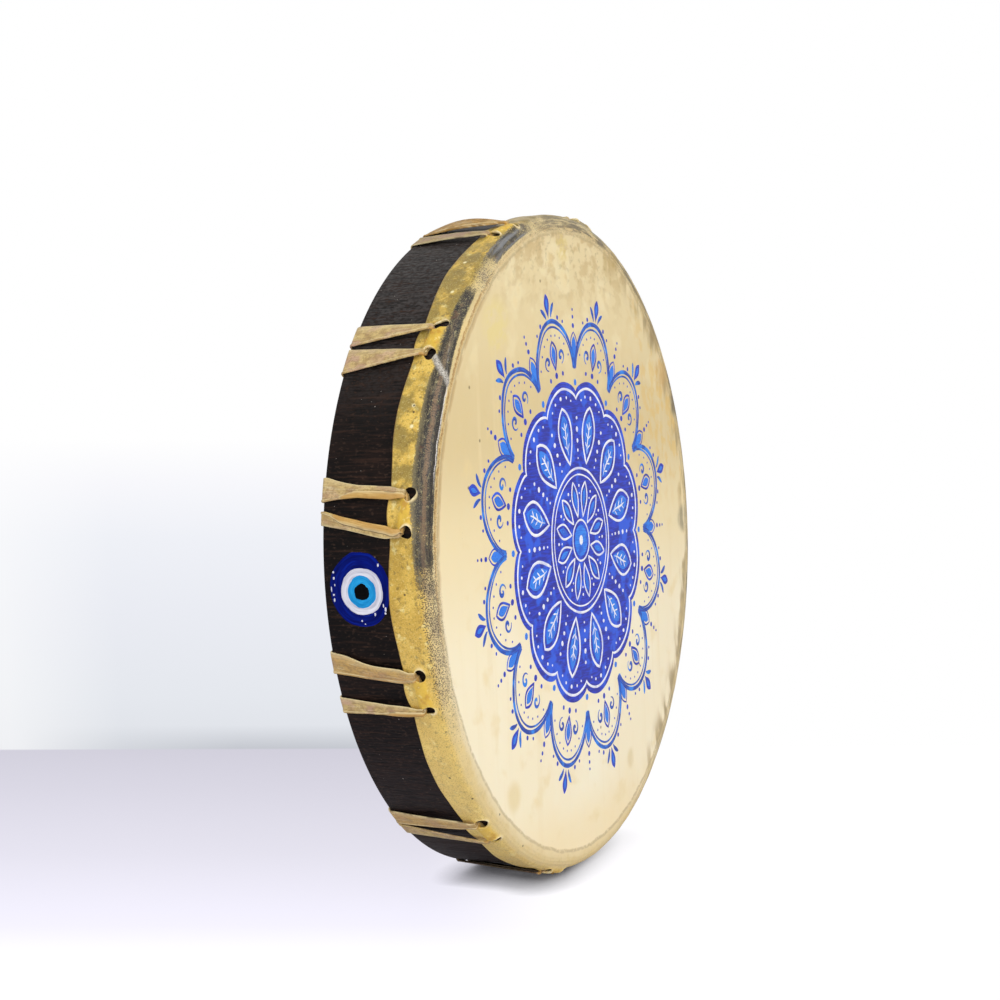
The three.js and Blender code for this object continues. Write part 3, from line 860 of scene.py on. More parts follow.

# Scraped rawhide dried tight: cream and dull on the face, translucent and golden where it turns
# over the hoop, with smoky pigment, painted glints on its blisters and pale stretched lips at the
# holes. Its clouds are sized along X and Z and then down from the face's edge. line and border are mm
# down with their wander added, so they read 1.5 and 4.5 more than the place
driedRawhide = {
    "name": "dried rawhide",
    "run": "round",
    "marks": [*(key for key in marksRound if key not in spanMarks), *shellMarks],
    "clouds": {"grit": (0.75, 0.75, 0.75, 3), "mottle": (2.6, 2.6, 2.6, 4), "fleck": (5, 5, 5, 3),
               "blotch": (12, 12, 12, 4), "patch": (24, 24, 40, 3), "broad": (60, 110, 90, 3),
               "streak": (9, 150, 1000, 3), "smear": (12, 42, 1000, 4), "stray": (10, 10, 1000, 3),
               "smoke": (9, 9, 9, 5), "strand": (15, 15, 1.2, 4), "ledge": (34, 34, 3.2, 3)},
    "sums": {"line": ("stray", 3, "down"), "border": ("smoke", 9, "down"), "speck": ("specked", 0.24, "grit"),
             "gritty": ("grit", 1.5, "smoke"), "carried": ("soot", 1.7, "gritty")},
    "coats": [
        # Face: cream with faint streaks, tan above its middle, mottled and golden by the far edge
        "#fdefca",
        ("#fff6d8", 0.8, ("broad", 0.46, 0.66), ("z", 0.2, 0.12)),
        ("#f2deaa", 0.9, ("z", 0.13, 0.22)),
        ("#dec78f", 0.9, ("z", 0.205, 0.268)),
        ("#ead6a2", 0.75, ("z", 0.285, 0.335)),
        ("#f3e4b6", 0.6, ("z", 0.27, 0.34), ("patch", 0.5, 0.64)),
        ("#f0dcab", 0.4, ("streak", 0.5, 0.8)),
        ("#cdb27a", 0.75, ("z", 0.325, 0.38), ("blotch", 0.46, 0.62)),
        ("#b09c6a", 0.5, ("z", 0.335, 0.385), ("fleck", 0.54, 0.7)),
        ("#e4bf6c", 0.7, ("x", 0.07, 0.15), ("z", 0.2, 0.27), ("blotch", 0.45, 0.62)),
        ("#b89a5c", 0.7, ("x", 0.05, 0.12), ("down", -22, -4), ("smear", 0.46, 0.6)),
        ("#8a7d5a", 0.6, ("x", 0.06, 0.13), ("down", -16, -3), ("smear", 0.52, 0.62)),
        ("#fae3b0", 0.7, ("z", 0.06, 0.02)),
        ("#eed596", 0.45, ("patch", 0.58, 0.74)),
        ("#9a7f4a", 0.6, ("fleck", 0.77, 0.83)),
        # Skirt: translucent gold, olive where the hide is thick
        ("#d0a83e", 1, skirt),
        ("#e9c65e", 0.8, skirt, ("blotch", 0.4, 0.66)),
        ("#ad8a32", 0.6, skirt, ("smoke", 0.54, 0.72)),
        ("#f6e69c", 0.75, skirt, ("fleck", 0.58, 0.72)),
        ("#8c7a38", 0.8, skirt, ("olive", 0, 1), ("blotch", 0.58, 0.44)),
        ("#846c2a", 0.75, skirt, ("mottle", 0.54, 0.68)),
        ("#f4d98a", 0.6, skirt, ("z", 0.2, 0.06)),
        ("#7c6a30", 0.6, skirt, ("z", 0.31, 0.36), ("smoke", 0.62, 0.4)),
        ("#9a7a2e", 0.5, skirt, ("grit", 0.52, 0.68)),
        ("#f4e298", 0.3, skirt, ("grit", 0.46, 0.32)),
        ("#b8a888", 0.7, skirt, ("z", 0.38, 0.397), ("blotch", 0.4, 0.6)),
        ("#e6bd3a", 0.7, skirt, lumpy),
        ("#c08a28", 0.7, lumpy, ("fleck", 0.52, 0.68)),
        ("#f8e596", 0.6, lumpy, ("mottle", 0.56, 0.7)),
        # Beside the face: a duller band, a soft border of painted shade, an amber and a tan line, a dark far
        # edge
        ("#e2cd98", 0.6, ("line", -2.5, -0.8), ("line", 11, 7)),
        # painted shade where the face turns into its rounded edge
        ("#b7a272", 0.6, ("line", -3.4, -2.2), ("line", -0.2, -1.6), ("mottle", 0.22, 0.52)),
        ("#9c8c74", 0.6, ("specked", 0.3, 1.1), ("line", -1, 3), ("line", 13, 6), ("smoke", 0.38, 0.62)),
        ("#c39a4c", 0.7, ("amber", 0, 1), ("line", -1.2, -0.2), ("line", 2.6, 1.2), ("grit", 0.36, 0.5)),
        ("#a5782f", 0.8, ("amber", 0, 1), ("line", 0.2, 0.8), ("line", 2.6, 1.8), ("mottle", 0.4, 0.52)),
        ("#b8955a", 0.55, ("amber", 0, 1), ("line", -5.4, -3.4), ("line", -1, -2), ("blotch", 0.3, 0.5)),
        ("#5f5640", 0.8, ("dusk", 0, 1), ("line", -1.5, 1.5), ("line", 14, 9), ("strand", 0.42, 0.58)),
        # Pigment with streaks that go round the drum, its brown ridge and a white line that is a painted
        # highlight
        ("#26221f", 1, sooty),
        ("#6a5f45", 0.8, sooty, ("strand", 0.5, 0.62), ("mottle", 0.38, 0.52)),
        ("#8a7f5e", 0.6, sooty, ("grit", 0.53, 0.62)),
        ("#a4996c", 0.8, sooty, ("mottle", 0.56, 0.64), ("grit", 0.46, 0.56)),
        ("#5d3f2c", 0.7, sooty, ("fleck", 0.6, 0.7)),
        ("#7f7452", 0.85, sooty, ("line", 12, 15.5)),
        ("#8d8f92", 0.7, sooty, ("hazy", 0, 1), ("ledge", 0.44, 0.6)),
        ("#86694a", 0.85, ("ridge", 0, 1), ("line", 7, 8.4), ("line", 10.6, 9.4), ("grit", 0.36, 0.52)),
        ("#16130f", 0.8, ("ridge", 0, 1), ("line", 4.3, 4.8), ("line", 6.4, 5.6), ("mottle", 0.36, 0.5)),
        # painted highlight: a white line in the pigment by the ridge
        ("#e4ddd4", 0.95, ("white", 0, 1), ("line", 3.2, 3.6), ("line", 4.5, 4.0), ("grit", 0.38, 0.5)),
        ("#37302a", 0.75, ("speck", 0.735, 0.8)),
        # Crease, lips and inside of the holes, and the cut edge's brown, partly painted shade where the skirt
        # meets the hoop
        ("#aea89c", 0.95, ("crease", 0.1, 0.8)),
        ("#e0dacf", 0.7, ("crease", 0.35, 1), ("grit", 0.52, 0.62)),
        ("#5a564e", 0.8, ("crease", 0.1, 0.5), ("grit", 0.48, 0.38)),
        ("#ead49a", 0.7, ("lip", 0.2, 0.8)),
        ("#f8e8ba", 0.7, ("lip", 0.65, 1), ("mottle", 0.4, 0.55)),
        ("#4c3514", 1, ("rim", 0.05, -0.3)),
        # the cut hide's brown, darkened as painted shade where the skirt meets the hoop
        ("#7a5626", 0.85, ("toEdge", 0.75, 0.25)),
    ],
    "spots": [
        *((onFace(x, z), size, code, share, (cloud, 0.36, 0.54)) for x, z, size, code, share, cloud in [
              (69, -149, 9, "#dcc486", 0.5, "smear"),
              (-12, 179, 13, "#e2c970", 0.5, "fleck"), (-108, 128, 22, "#e9d58c", 0.8, "blotch"),
              (64, 179, 20, "#b89a55", 0.6, "smear"), (111, 154, 18, "#a88f52", 0.7, "smear"),
              (138, 131, 18, "#9d8552", 0.7, "smear"), (150, 104, 16, "#cfa55a", 0.7, "smear"),
              (174, 84, 12, "#5d5540", 0.8, "smear"), (183, 2, 12, "#81785c", 0.7, "smear")]),
        (onFace(-109, -137), 12, "#e6cc84", 0.5),
        *((onFace(x, z), 1.4, "#8a7348", 0.9)
          for x, z in [(-46, 157), (-144, 94), (-134, 65), (-150, 40), (20, -120), (90, -90)]),
        # painted highlights: pale glints on the blisters
        *((onSkin(angle, down, 0, 0), 1.5, "#f8ecb8", 0.9) for angle, down in blisterGlints),
        *((onSkin(angle, down, 0, 0), 0.9, "#3a2a14", 0.9) for angle, down in pinholes),
    ],
    "rough": ("blotch", 0.3, 0.7, 0.38, 0.55),
    "relief": {"blotch": 1.2, "mottle": 0.5, "strand": 0.4, "grit": 0.3},
    "strength": ("down", -2, 6, 0.12, 0.75),
    "deep": 0.5,
    "sockets": {"IOR": 1.5, "Subsurface Weight": 0.08, "Subsurface Radius": (1.0, 0.6, 0.3),
                "Subsurface Scale": 1.5 * mm},
}


def makeHead():
    shell = Shell()
    angles, starts = headColumnAngles()
    count = len(angles)
    outer, outerRims = skinGrid(shell, angles, starts, 0.0, head["edgeRows"], head["skirtRows"])
    inner, innerRims = skinGrid(shell, angles, starts, head["skin"], *head["innerRows"])
    for key, rim in outerRims.items():
        shell.faces += bridge(rim, innerRims[key])
    lips = []
    for angle in angles:
        edge = freeEdge(angle)
        lift = reliefAt(angle, edge)
        lips.append([shell.add(angle, edge + past, inset, lift * (1 - inset / head["skin"]))
                     for past, inset in head["cutEdge"]])
    strips = [[outer[c][-1], *lips[c], inner[c][-1]] for c in range(count)]
    for here, there in zip(strips, strips[1:] + strips[:1]):
        shell.faces += [tuple(quad) for quad in zip(here, there, there[1:], here[1:])]
    faceDisc(shell, angles, [column[0] for column in outer], head["faceRings"], 0.0)
    faceDisc(shell, angles, [column[0] for column in inner], head["innerRings"], head["skin"])
    used = sorted({v for face in shell.faces for v in face})
    number = {v: k for k, v in enumerate(used)}
    points = [shell.points[v] for v in used]
    faces = [tuple(number[v] for v in face) for face in shell.faces]
    marks = {key: [shell.marks[key][v] for v in used] for key in ("round", *driedRawhide["marks"])}
    piece = addPiece("rawhide_head", points, faces, [makeFinish(driedRawhide)], marks)
    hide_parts("drum_head")


makeHead()
print("head done")

# Lacing: flat rawhide thong, one run for each pair of holes
lace = {
    "layer": 0.8,  # thickness of the thong
    "bed": 1.2,  # the route runs half of this above a strap's underside
    "packedLayer": 1.75,  # where the thong is drawn together
    "underRadius": 199.6,  # under the skirt, between the two holes
    "risingRadius": 200.4,  # on the way up through a hole
    "asideShare": 0.7,  # of the way sideways from the hole's middle to the edge where it leaves
    "edgeClearance": 0.8,  # between its middle and that edge, along the drum's depth
    "shoulderRadius": 202.65,  # where it comes out on the skirt
    "shoulderDepth": 3.2,
    "lean": 0.6,  # degrees that the unseen straps lean over on their way back
    "halfStrap": 2.292,  # degrees from a pair's middle to the middle of a strap
    "backRadius": 197.25,  # turns over the hoop's back edge about here
    "backDepth": 62.8,
    "backTurn": 2.15,
    "lane": 4.35,
    "laneWidth": 4,
    "laneThickness": 3.5,
    "innerRadius": 190.45,  # leaves the hoop's back edge for the grip
    "ringDepth": 58,
    "ringDiameter": 50,
    "wrapRadius": 4.55,
    "wrapWidth": 3.6,
    "wrapThickness": 2.4,
    "bindingStart": 42,
    "bindingEnd": 89.4,
    "strapSteps": 26,
}

# How the straps seen in the photograph lie. back is the angle at the hoop's back edge. widths and
# flaps are mm at shares of the way from the hole to that edge, where flaps are how much of the
# thong is folded over, on the higher (1) or the lower (-1) side. bulge is how far it stands off, and
# cup how far it is cupped. groove, pinked, golden and soiled are shares, the last for grime and for
# painted shade on the lowest straps. straight is the side whose edge stays straight, and ease is
# under 1 where a strap swings to its place early
openThong = [(0, 1.5), (1, 1.4)]
straps = {
    (0, 1): {"back": 12.3, "side": -1, "bulge": 0.2, "groove": 0.1,
             "widths": [(0, 5.2), (0.1, 7.3), (0.3, 6.8), (0.55, 6.9), (0.75, 8.8), (1, 13.2)],
             "flaps": [(0, 3), (0.15, 4.4), (0.6, 3.6), (0.85, 1.4), (1, 1.4)]},
    (0, -1): {"back": 7.9, "side": 1, "bulge": 0.2, "groove": 0.8, "ease": 1.15,
              "widths": [(0, 4.8), (0.1, 6.8), (0.6, 6.4), (1, 7.6)],
              "flaps": [(0, 3.4), (0.2, 4.2), (0.7, 3.4), (0.92, 1.4), (1, 1.4)]},
    (1, 1): {"back": 38.75, "side": -1, "bulge": 0.1, "pinked": 1.0, "flaps": openThong,
             "widths": [(0, 4), (0.12, 5.2), (0.5, 9.4), (1, 13.6)]},
    (1, -1): {"back": 33.8, "side": -1, "bulge": 0.1, "pinked": 0.8, "flaps": openThong,
              "widths": [(0, 4), (0.12, 5.2), (0.5, 9.8), (1, 16)]},
    (2, 1): {"back": 72.0, "side": -1, "bulge": 1.3, "cup": 3.0, "pinked": 0.3, "golden": 1.0,
             "flaps": openThong, "widths": [(0, 5), (0.2, 10.5), (0.5, 16.5), (1, 17.5)]},
    (2, -1): {"back": 66.4, "side": 1, "bulge": 0.4, "cup": 0.8, "pinked": 1.0, "grimeAndShade": 0.4,
              "widths": [(0, 5.2), (0.2, 8), (0.6, 9.4), (1, 13)],
              "flaps": [(0, 1.5), (0.5, 1.5), (1, 1.4)]},
    (11, 1): {"back": -14.6, "side": -1, "bulge": 0.2, "golden": 0.55, "straight": -1,
              "widths": [(0, 5.5), (0.1, 7.8), (0.5, 8.2), (0.62, 8.8), (0.85, 11.6), (1, 12.4)],
              "flaps": [(0, 1.4), (1, 1.4)]},
    (11, -1): {"back": -21.85, "side": -1, "bulge": 0.2, "pinked": 0.9, "ease": 0.8,
               "widths": [(0, 4.2), (0.12, 5.8), (0.4, 6.4), (0.7, 7.9), (1, 9.7)],
               "flaps": [(0, 2.6), (0.3, 3.4), (0.48, 1.4), (1, 1.4)]},
    (10, 1): {"back": -47.25, "side": -1, "bulge": 0.3, "golden": 0.5, "flaps": openThong,
              "widths": [(0, 5), (0.15, 8), (0.5, 10.5), (1, 13.5)]},
    (10, -1): {"back": -51.1, "side": 1, "bulge": 0.1, "flaps": openThong,
               "widths": [(0, 3.6), (0.3, 5.4), (0.6, 7.6), (1, 11)]},
    # The lowest straps lie in the drum's shadow by the floor: their darkening is painted shade
    (9, 1): {"back": -73.9, "side": 1, "bulge": 0.0, "pinked": 1.0, "grimeAndShade": 1.0, "flaps": openThong,
             "widths": [(0, 4), (0.2, 6), (1, 11)]},
    (9, -1): {"back": -78.2, "side": 1, "bulge": 0.0, "grimeAndShade": 1.0, "flaps": openThong,
              "widths": [(0, 4), (0.2, 6), (1, 11)]},
}


def strapLook(pair, side):
    if (pair, side) in straps:
        return straps[pair, side]
    dice = random.Random(300 + 2 * pair + (side + 1) // 2)
    back = pairAngle(pair) + lace["lean"] + side * lace["halfStrap"] + dice.uniform(-0.25, 0.25)
    wide = dice.uniform(10.5, 13)
    gathered = dice.uniform(5.6, 7.4)
    narrowTo = dice.uniform(0.15, 0.6)
    fold = dice.choice((1.4, 2.6, 3.6))
    return {
        "back": back,
        "widths": [(0, 4.2), (0.12, gathered), (narrowTo, gathered + 0.6), (1, wide)],
        "flaps": [(0, 2), (0.2, fold), (narrowTo, fold * 0.8), (0.9, 1.4), (1, 1.4)],
        "side": dice.choice((-1, 1)),
        "bulge": dice.uniform(0.1, 0.4),
        "golden": dice.choice((0, 0, 0.6)),
        "pinked": dice.choice((0, 0.5, 1)),
    }


def thongOutline(width, layer, flap, fold, cup):
    # Section of a thong whose one side is folded over; x is its width and y is up from its underside
    tall = layer * (1 + 1.05 * fold)
    half = width / 2
    flap = clamp(flap, tall / 2 + 0.65, max(width - 0.9, tall / 2 + 0.66))
    groove = 0.16 * fold * layer
    outline = [(-half + 0.3 * layer, 0), (-half / 2, 0.02), (0, 0.03), (half - 0.6 * tall, 0.02)]
    for k in range(5):
        a = math.radians(-70 + 35 * k)
        outline.append((half - tall * (0.5 - 0.5 * math.cos(a)), tall * (0.5 + 0.5 * math.sin(a))))
    outline += [
        (half - 0.5 * tall, tall), (half - 0.3 * tall - 0.35 * flap, tall * 1.02),
        (half - flap + 0.3, tall), (half - flap + 0.06, lerp(layer, tall, 0.82)),
        (half - flap, lerp(layer, tall, 0.2)),
        (half - flap - 0.12, layer - groove), (half - flap - 0.4, layer),
        (lerp(half - flap - 0.4, -half, 0.5), layer * 1.04), (-half + 0.45 * layer, layer),
        (-half + 0.1 * layer, layer * 0.82), (-half, layer * 0.5), (-half + 0.08 * layer, layer * 0.15),
    ]
    return [(u, v + cup * (1 - (u / half) ** 2)) for u, v in outline]


# For each point of the outline: how much it is a cut edge, and how much it is on the fold
cutShares = [0.6, 0, 0, 0, 0, 0, 0, 0, 0, 0, 0, 0.7, 1, 0.6, 0, 0, 0, 0.5, 1, 1, 1]
foldShares = [0, 0, 0, 0.4, 0.8, 1, 1, 1, 1, 1, 1, 0.9, 0.4, 0, -1, -0.3, 0, 0, 0, 0, 0]


def splineThrough(stations):
    # Denser stations along a smooth curve, with everything that they hold blended
    dense = []
    last = len(stations) - 1
    for k in range(last):
        here, there = stations[k], stations[k + 1]
        before, after = stations[max(k - 1, 0)], stations[min(k + 2, last)]
        gap = max((there["at"] - here["at"]).length, 1e-6)
        leaving = (there["at"] - before["at"]) / max(gap + (here["at"] - before["at"]).length, 1e-6) * gap
        coming = (after["at"] - here["at"]) / max(gap + (after["at"] - there["at"]).length, 1e-6) * gap
        steps = max(1, min(here["steps"], round(gap / (0.35 * mm))))
        for j in range(steps):
            t = j / steps
            blend = {key: lerp(here[key], there[key], t) for key in here if key not in ("at", "across")}
            blend["at"] = (here["at"] * (2 * t ** 3 - 3 * t ** 2 + 1) + leaving * (t ** 3 - 2 * t ** 2 + t)
                           + there["at"] * (3 * t ** 2 - 2 * t ** 3) + coming * (t ** 3 - t ** 2))
            blend["across"] = here["across"].lerp(there["across"], t)
            dense.append(blend)
    dense.append(stations[-1])
    return dense


class Run:  # half of a thong, as stations from under the skirt to the ring
    def __init__(self, pair, side):
        self.pair = pair
        self.side = side
        self.look = strapLook(pair, side)
        self.wide = self.look["widths"][-1][1]
        self.stations = []
        middle = pairAngle(pair)
        self.strapAngle = middle + turnBetween(self.look["back"], middle)
        holeAngle, holeDown = holePlace(pair, side)
        leaves = math.radians(holeLooks[pair, side][4])
        rim = holeRim(pair, side, leaves)
        aside = math.degrees(rim * math.cos(leaves) / drum["headRadius"]) * lace["asideShare"]
        self.holeAngle = holeAngle + aside
        leavesAt = holeDown - head["arc"] + head["edgeRadius"] + rim * math.sin(leaves)
        self.entry = leavesAt - lace["edgeClearance"]

    def across(self, angle):
        return onward(angle) * -self.side

    def add(self, at, direction, width, thickness, layer=None, flap=0.0, fold=0.0, strap=0.0, steps=3,
            cup=0.0):
        look = self.look
        self.stations.append({
            "at": at, "across": direction.normalized(), "width": width, "base": -thickness / 2,
            "layer": layer or thickness, "flap": flap, "fold": fold, "strap": strap, "steps": steps,
            "flip": -look["side"] * self.side,  # thongOutline folds towards across
            "cup": cup, "golden": look.get("golden", 0), "pinked": look.get("pinked", 0.5),
            "grimeAndShade": look.get("grimeAndShade", 0) * smooth(strap, 0.8, 1), "groove": look.get("groove", 0.5)})

    def throughHole(self):  # under the skirt and up through the hole, gathered tight
        under, shoulder = lace["underRadius"], lace["shoulderRadius"]
        angle, entry = self.holeAngle, self.entry
        gathered = self.look["widths"][0][1]
        firstFlap = self.look["flaps"][0][1]
        aside = self.across(angle)
        self.add(onDrum(under, lerp(pairAngle(self.pair), angle, 0.55), entry), outward(angle), 1.6, 3.4)
        self.add(onDrum(under + 0.5, angle, entry), outward(angle) + aside, 2.4, 2)
        for radius, depth, narrower, thickness, layer, flap, fold, steps in (
                (lace["risingRadius"], entry, 0.8, 1.0, 0.6, 1.6, 0.5, 4),
                (shoulder - 0.8, entry + 0.1, 0.4, 1.1, 0.7, 1.8, 0.6, 5),
                (shoulder - 0.2, entry + 1, 0, 1.5, 0.85, firstFlap, 0.9, 4)):
            self.add(onDrum(radius, angle, depth), aside, gathered - narrower, thickness, layer, flap, fold,
                     steps=steps)

    def alongHoop(self):
        look, pair, side = self.look, self.pair, self.side
        cornerRadius = lace["backRadius"] + lace["backTurn"]
        startDepth = self.entry + lace["shoulderDepth"]
        gatheredTo = look["widths"][1][1]
        for k in range(lace["strapSteps"] + 1):
            share = k / lace["strapSteps"]
            angle = lerp(self.holeAngle, self.strapAngle, share ** look.get("ease", 1))
            angle += 0.07 * ripple(share * 3, pair * 2.3, side * 4.1) * math.sin(math.pi * share)
            extra = along(look["widths"], share) - lerp(gatheredTo, self.wide, share)
            aside = math.degrees(extra / 2 / drum["headRadius"]) * smooth(share, 0, 0.15)
            angle -= look.get("straight", 0) * aside
            radius = lerp(lace["shoulderRadius"], cornerRadius, share)
            radius += look["bulge"] * math.sin(math.pi * share) ** 1.4
            width = along(look["widths"], share) * (1 + 0.05 * ripple(share * 5, pair * 3.7, side * 2.9))
            flap = along(look["flaps"], share) * (1 + 0.2 * ripple(share * 4, pair * 1.7, side * 6.3))
            fold = lerp(0.15, 1 - 0.5 * smooth(share, 0.75, 1), smooth(flap, 1.5, 2.6))
            cup = look.get("cup", 0.1) * math.sin(math.pi * clamp(share * 0.96 + 0.02)) ** 0.8
            at = onDrum(radius, angle, lerp(startDepth, lace["backDepth"], share))
            self.add(at, self.across(angle), width, lace["bed"], lace["layer"], flap, fold, strap=1.0,
                     steps=1, cup=cup)

    def overBackEdge(self):
        aside = self.across(self.strapAngle)
        for turn in (18, 36, 54, 72, 90):
            a = math.radians(turn)
            radius = lace["backRadius"] + lace["backTurn"] * math.cos(a)
            depth = lace["backDepth"] + lace["backTurn"] * math.sin(a)
            self.add(onDrum(radius, self.strapAngle, depth), aside, self.wide, lace["bed"], lace["layer"],
                     1.4, 0.4, strap=1.0, steps=2)
        self.add(onDrum(lace["innerRadius"], self.strapAngle, lace["backDepth"] + lace["backTurn"]), aside,
                 self.wide, lace["bed"], lace["layer"], 1.6, 0.5, strap=0.8)

    def toRing(self):  # drawn together into the grip, then round the ring
        spoke = (self.pair + 1) // 3 % 4
        lanes = 2 * ((self.pair + 1) % 3 - 1) + self.side / 2
        spokeAngle = drum["firstPair"] + 90 * spoke
        lane = lanes * lace["lane"]
        wide, thick, packed = lace["laneWidth"], lace["laneThickness"], lace["packedLayer"]

        def inSpoke(reach):
            return onDrum(reach, spokeAngle, lace["ringDepth"]) + onward(spokeAngle) * lane * mm

        rim = self.stations[-1]["at"]
        fromAxis = rim - onDrum(0, 0, 0)
        offset = fromAxis.dot(onward(spokeAngle)) / mm
        reach = fromAxis.dot(outward(spokeAngle)) / mm
        bend = math.atan2(offset - lane, reach - lace["bindingEnd"])
        bendReach = lace["bindingEnd"] + 4 - self.side / 2 * lace["lane"] * math.tan(bend / 2)
        for share in (0.15, 0.3, 0.45, 0.6, 0.75, 0.88):
            close = smooth(share, 0, 0.9)
            self.add(rim.lerp(inSpoke(bendReach), share),
                     self.across(self.strapAngle).lerp(self.across(spokeAngle), share),
                     lerp(self.wide, wide, close), lerp(lace["bed"], thick, close),
                     lerp(lace["layer"], packed, close), lerp(2.2, 3, close), lerp(0.6, 1, close),
                     strap=0.7 - 0.5 * share)
        inmost = lace["bindingStart"] - 1
        for reach in (bendReach, lerp(bendReach, inmost, 0.5), inmost):
            self.add(inSpoke(reach), self.across(spokeAngle), wide, thick, packed, 3, 1, steps=4)

        # The higher strap passes behind the ring, the lower one in front
        middleRadius = lace["ringDiameter"] / 2
        innermost = middleRadius - lace["wrapRadius"] - lace["wrapThickness"] / 2
        wrapAngle = spokeAngle + lanes * math.degrees((lace["wrapWidth"] + drum["gap"]) / innermost)
        for turn in (72, 90, 108, 126, 144, 162, 180, 193, 205):
            a = math.radians(turn)
            radius = middleRadius + lace["wrapRadius"] * math.cos(a)
            depth = lace["ringDepth"] + self.side * lace["wrapRadius"] * math.sin(a)
            self.add(onDrum(radius, wrapAngle, depth), self.across(wrapAngle), lace["wrapWidth"],
                     lace["wrapThickness"], 1.15, 2.4, 1, steps=2)


def laceHalf(pair, side):
    run = Run(pair, side)
    run.throughHole()
    run.alongHoop()
    run.overBackEdge()
    run.toRing()
    return run.stations


# Rawhide cut in flat thong, laced wet and dried hard: tan and beige with fine lengthwise fibres,
# amber and clearer where it is folded double, pale along its cut edges
driedThong = {
    "name": "dried rawhide thong",
    "run": "run",
    "marks": ["folded", "groove", "cut", "strap", "pinked", "golden", "grimeAndShade"],
    "clouds": {"fibre": (16, 0.7, 1000, 3), "thread": (9, 1.1, 1000, 3), "grit": (1.2, 0.9, 1000, 2),
               "mottle": (5, 4, 1000, 4), "broad": (11, 7, 1000, 2)},
    "coats": [
        "#ad8f58",
        ("#d2b878", 1, ("mottle", 0.36, 0.64)),
        ("#c39c86", 0.75, ("pinked", 0, 1), ("broad", 0.44, 0.64)),
        ("#b98632", 0.95, ("golden", 0, 1), ("mottle", 0.28, 0.6)),
        ("#8f6a28", 0.8, ("golden", 0.6, 1), ("mottle", 0.46, 0.6)),
        ("#ded0a4", 0.6, ("fibre", 0.52, 0.72)),
        ("#8a6a3e", 0.65, ("thread", 0.56, 0.74)),
        ("#96794c", 0.6, ("grit", 0.5, 0.66)),
        ("#c99a48", 0.8, ("folded", 0.1, 0.8)),
        ("#dfc07a", 0.6, ("folded", 0.2, 0.9), ("fibre", 0.48, 0.68)),
        ("#a8782c", 0.6, ("folded", 0.2, 0.9), ("thread", 0.5, 0.7)),
        # painted shade in the groove where a folded flap meets the thong
        ("#4a3016", 0.9, ("groove", 0.15, 0.8)),
        ("#e6d6a4", 0.75, ("cut", 0, 1)),
        ("#6a5232", 0.7, ("cut", 0.2, 1), ("broad", 0.52, 0.62)),
        # darker straps: grime on the top pair, painted shade on the lowest pair by the floor
        ("#3a2b20", 0.85, ("grimeAndShade", 0, 1)),
        ("#9c7c49", 0.6, ("strap", 1, 0), ("mottle", 0.4, 0.7)),
    ],
    "rough": ("mottle", 0.3, 0.7, 0.42, 0.62),
    "relief": {"fibre": 0.7, "mottle": 1, "grit": 0.3},
    "strength": 0.6,
    "deep": 0.3,
    "sockets": {"IOR": 1.5},
}


def makeRibbon(stations, seed):
    # Skins dense stations with the thong's section; returns points, faces and marks
    count = len(cutShares)
    points, faces = [], []
    marks = {key: [] for key in ("run", *driedThong["marks"])}
    travelled = 0.0
    last = len(stations) - 1
    for k, station in enumerate(stations):
        before, after = stations[max(k - 1, 0)]["at"], stations[min(k + 1, last)]["at"]
        travelled += (station["at"] - before).length
        travel = (after - before).normalized()
        across = (station["across"] - travel * station["across"].dot(travel)).normalized()
        through = travel.cross(across).normalized()
        flip = 1 if station["flip"] > 0 else -1
        outline = thongOutline(*(station[key] for key in ("width", "layer", "flap", "fold", "cup")))
        for (u, v), cut, folded in zip(outline, cutShares, foldShares):
            u *= flip
            rough = 0.05 * ripple(travelled * 400, u * 1.3, seed)
            points.append(station["at"] + across * u * mm + through * (station["base"] + v + rough) * mm)
            doubled = max(smooth(station["flap"], 1.5, 2.8), 1 - smooth(station["strap"], 0, 0.2))
            marks["run"].append((travelled + seed, u * mm, seed))
            marks["folded"].append(max(folded, 0) * doubled)
            marks["groove"].append(max(-folded, 0) * doubled * station["groove"])
            marks["cut"].append(cut)
            for key in ("strap", "pinked", "golden", "grimeAndShade"):
                marks[key].append(station[key])
    for k in range(last):
        faces += bridge(ringNumbers(k, count), ringNumbers(k + 1, count))
    faces += [tuple(ringNumbers(0, count)), tuple(ringNumbers(last, count))]
    return points, faces, marks


def makeLaces():
    material = makeFinish(driedThong)
    for pair in range(drum["pairs"]):
        lower = laceHalf(pair, -1)[::-1]
        higher = laceHalf(pair, 1)
        centre = pairAngle(pair)
        inset = (lower[-1]["at"].y - facePlane) / mm
        middle = dict(lower[-1], at=onDrum(lace["underRadius"], centre, inset), across=outward(centre),
                      width=1.6, base=-2.0, layer=4.0)
        stations = splineThrough([*lower, middle, *higher])
        points, faces, marks = makeRibbon(stations, 1.7 * pair)
        piece = addPiece(f"thong_{pair + 1:02d}", points, faces, [material], marks, sharpAngle=60)
        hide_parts(f"lace_{pair + 1:02d}")


makeLaces()
print("laces done")


# Centre ring and the bindings of the grip
grip = {
    "ringRod": 5.9,
    "ringSteps": 120,
    "rodSteps": 20,
    "weldAngle": 55,
    "weldWidth": 3.2,  # degrees
    "weldSwell": 0.35,
    "turns": 5,
    "pitch": 8,
    "width": 7.3,
    "thickness": 1.15,
    "start": 45.7,  # middle of the first turn
    "round": 2.95,
    "straight": 12.9,
    "waver": 0.25,
    "widthWaver": 0.35,
    "stepsPerTurn": 52,
}


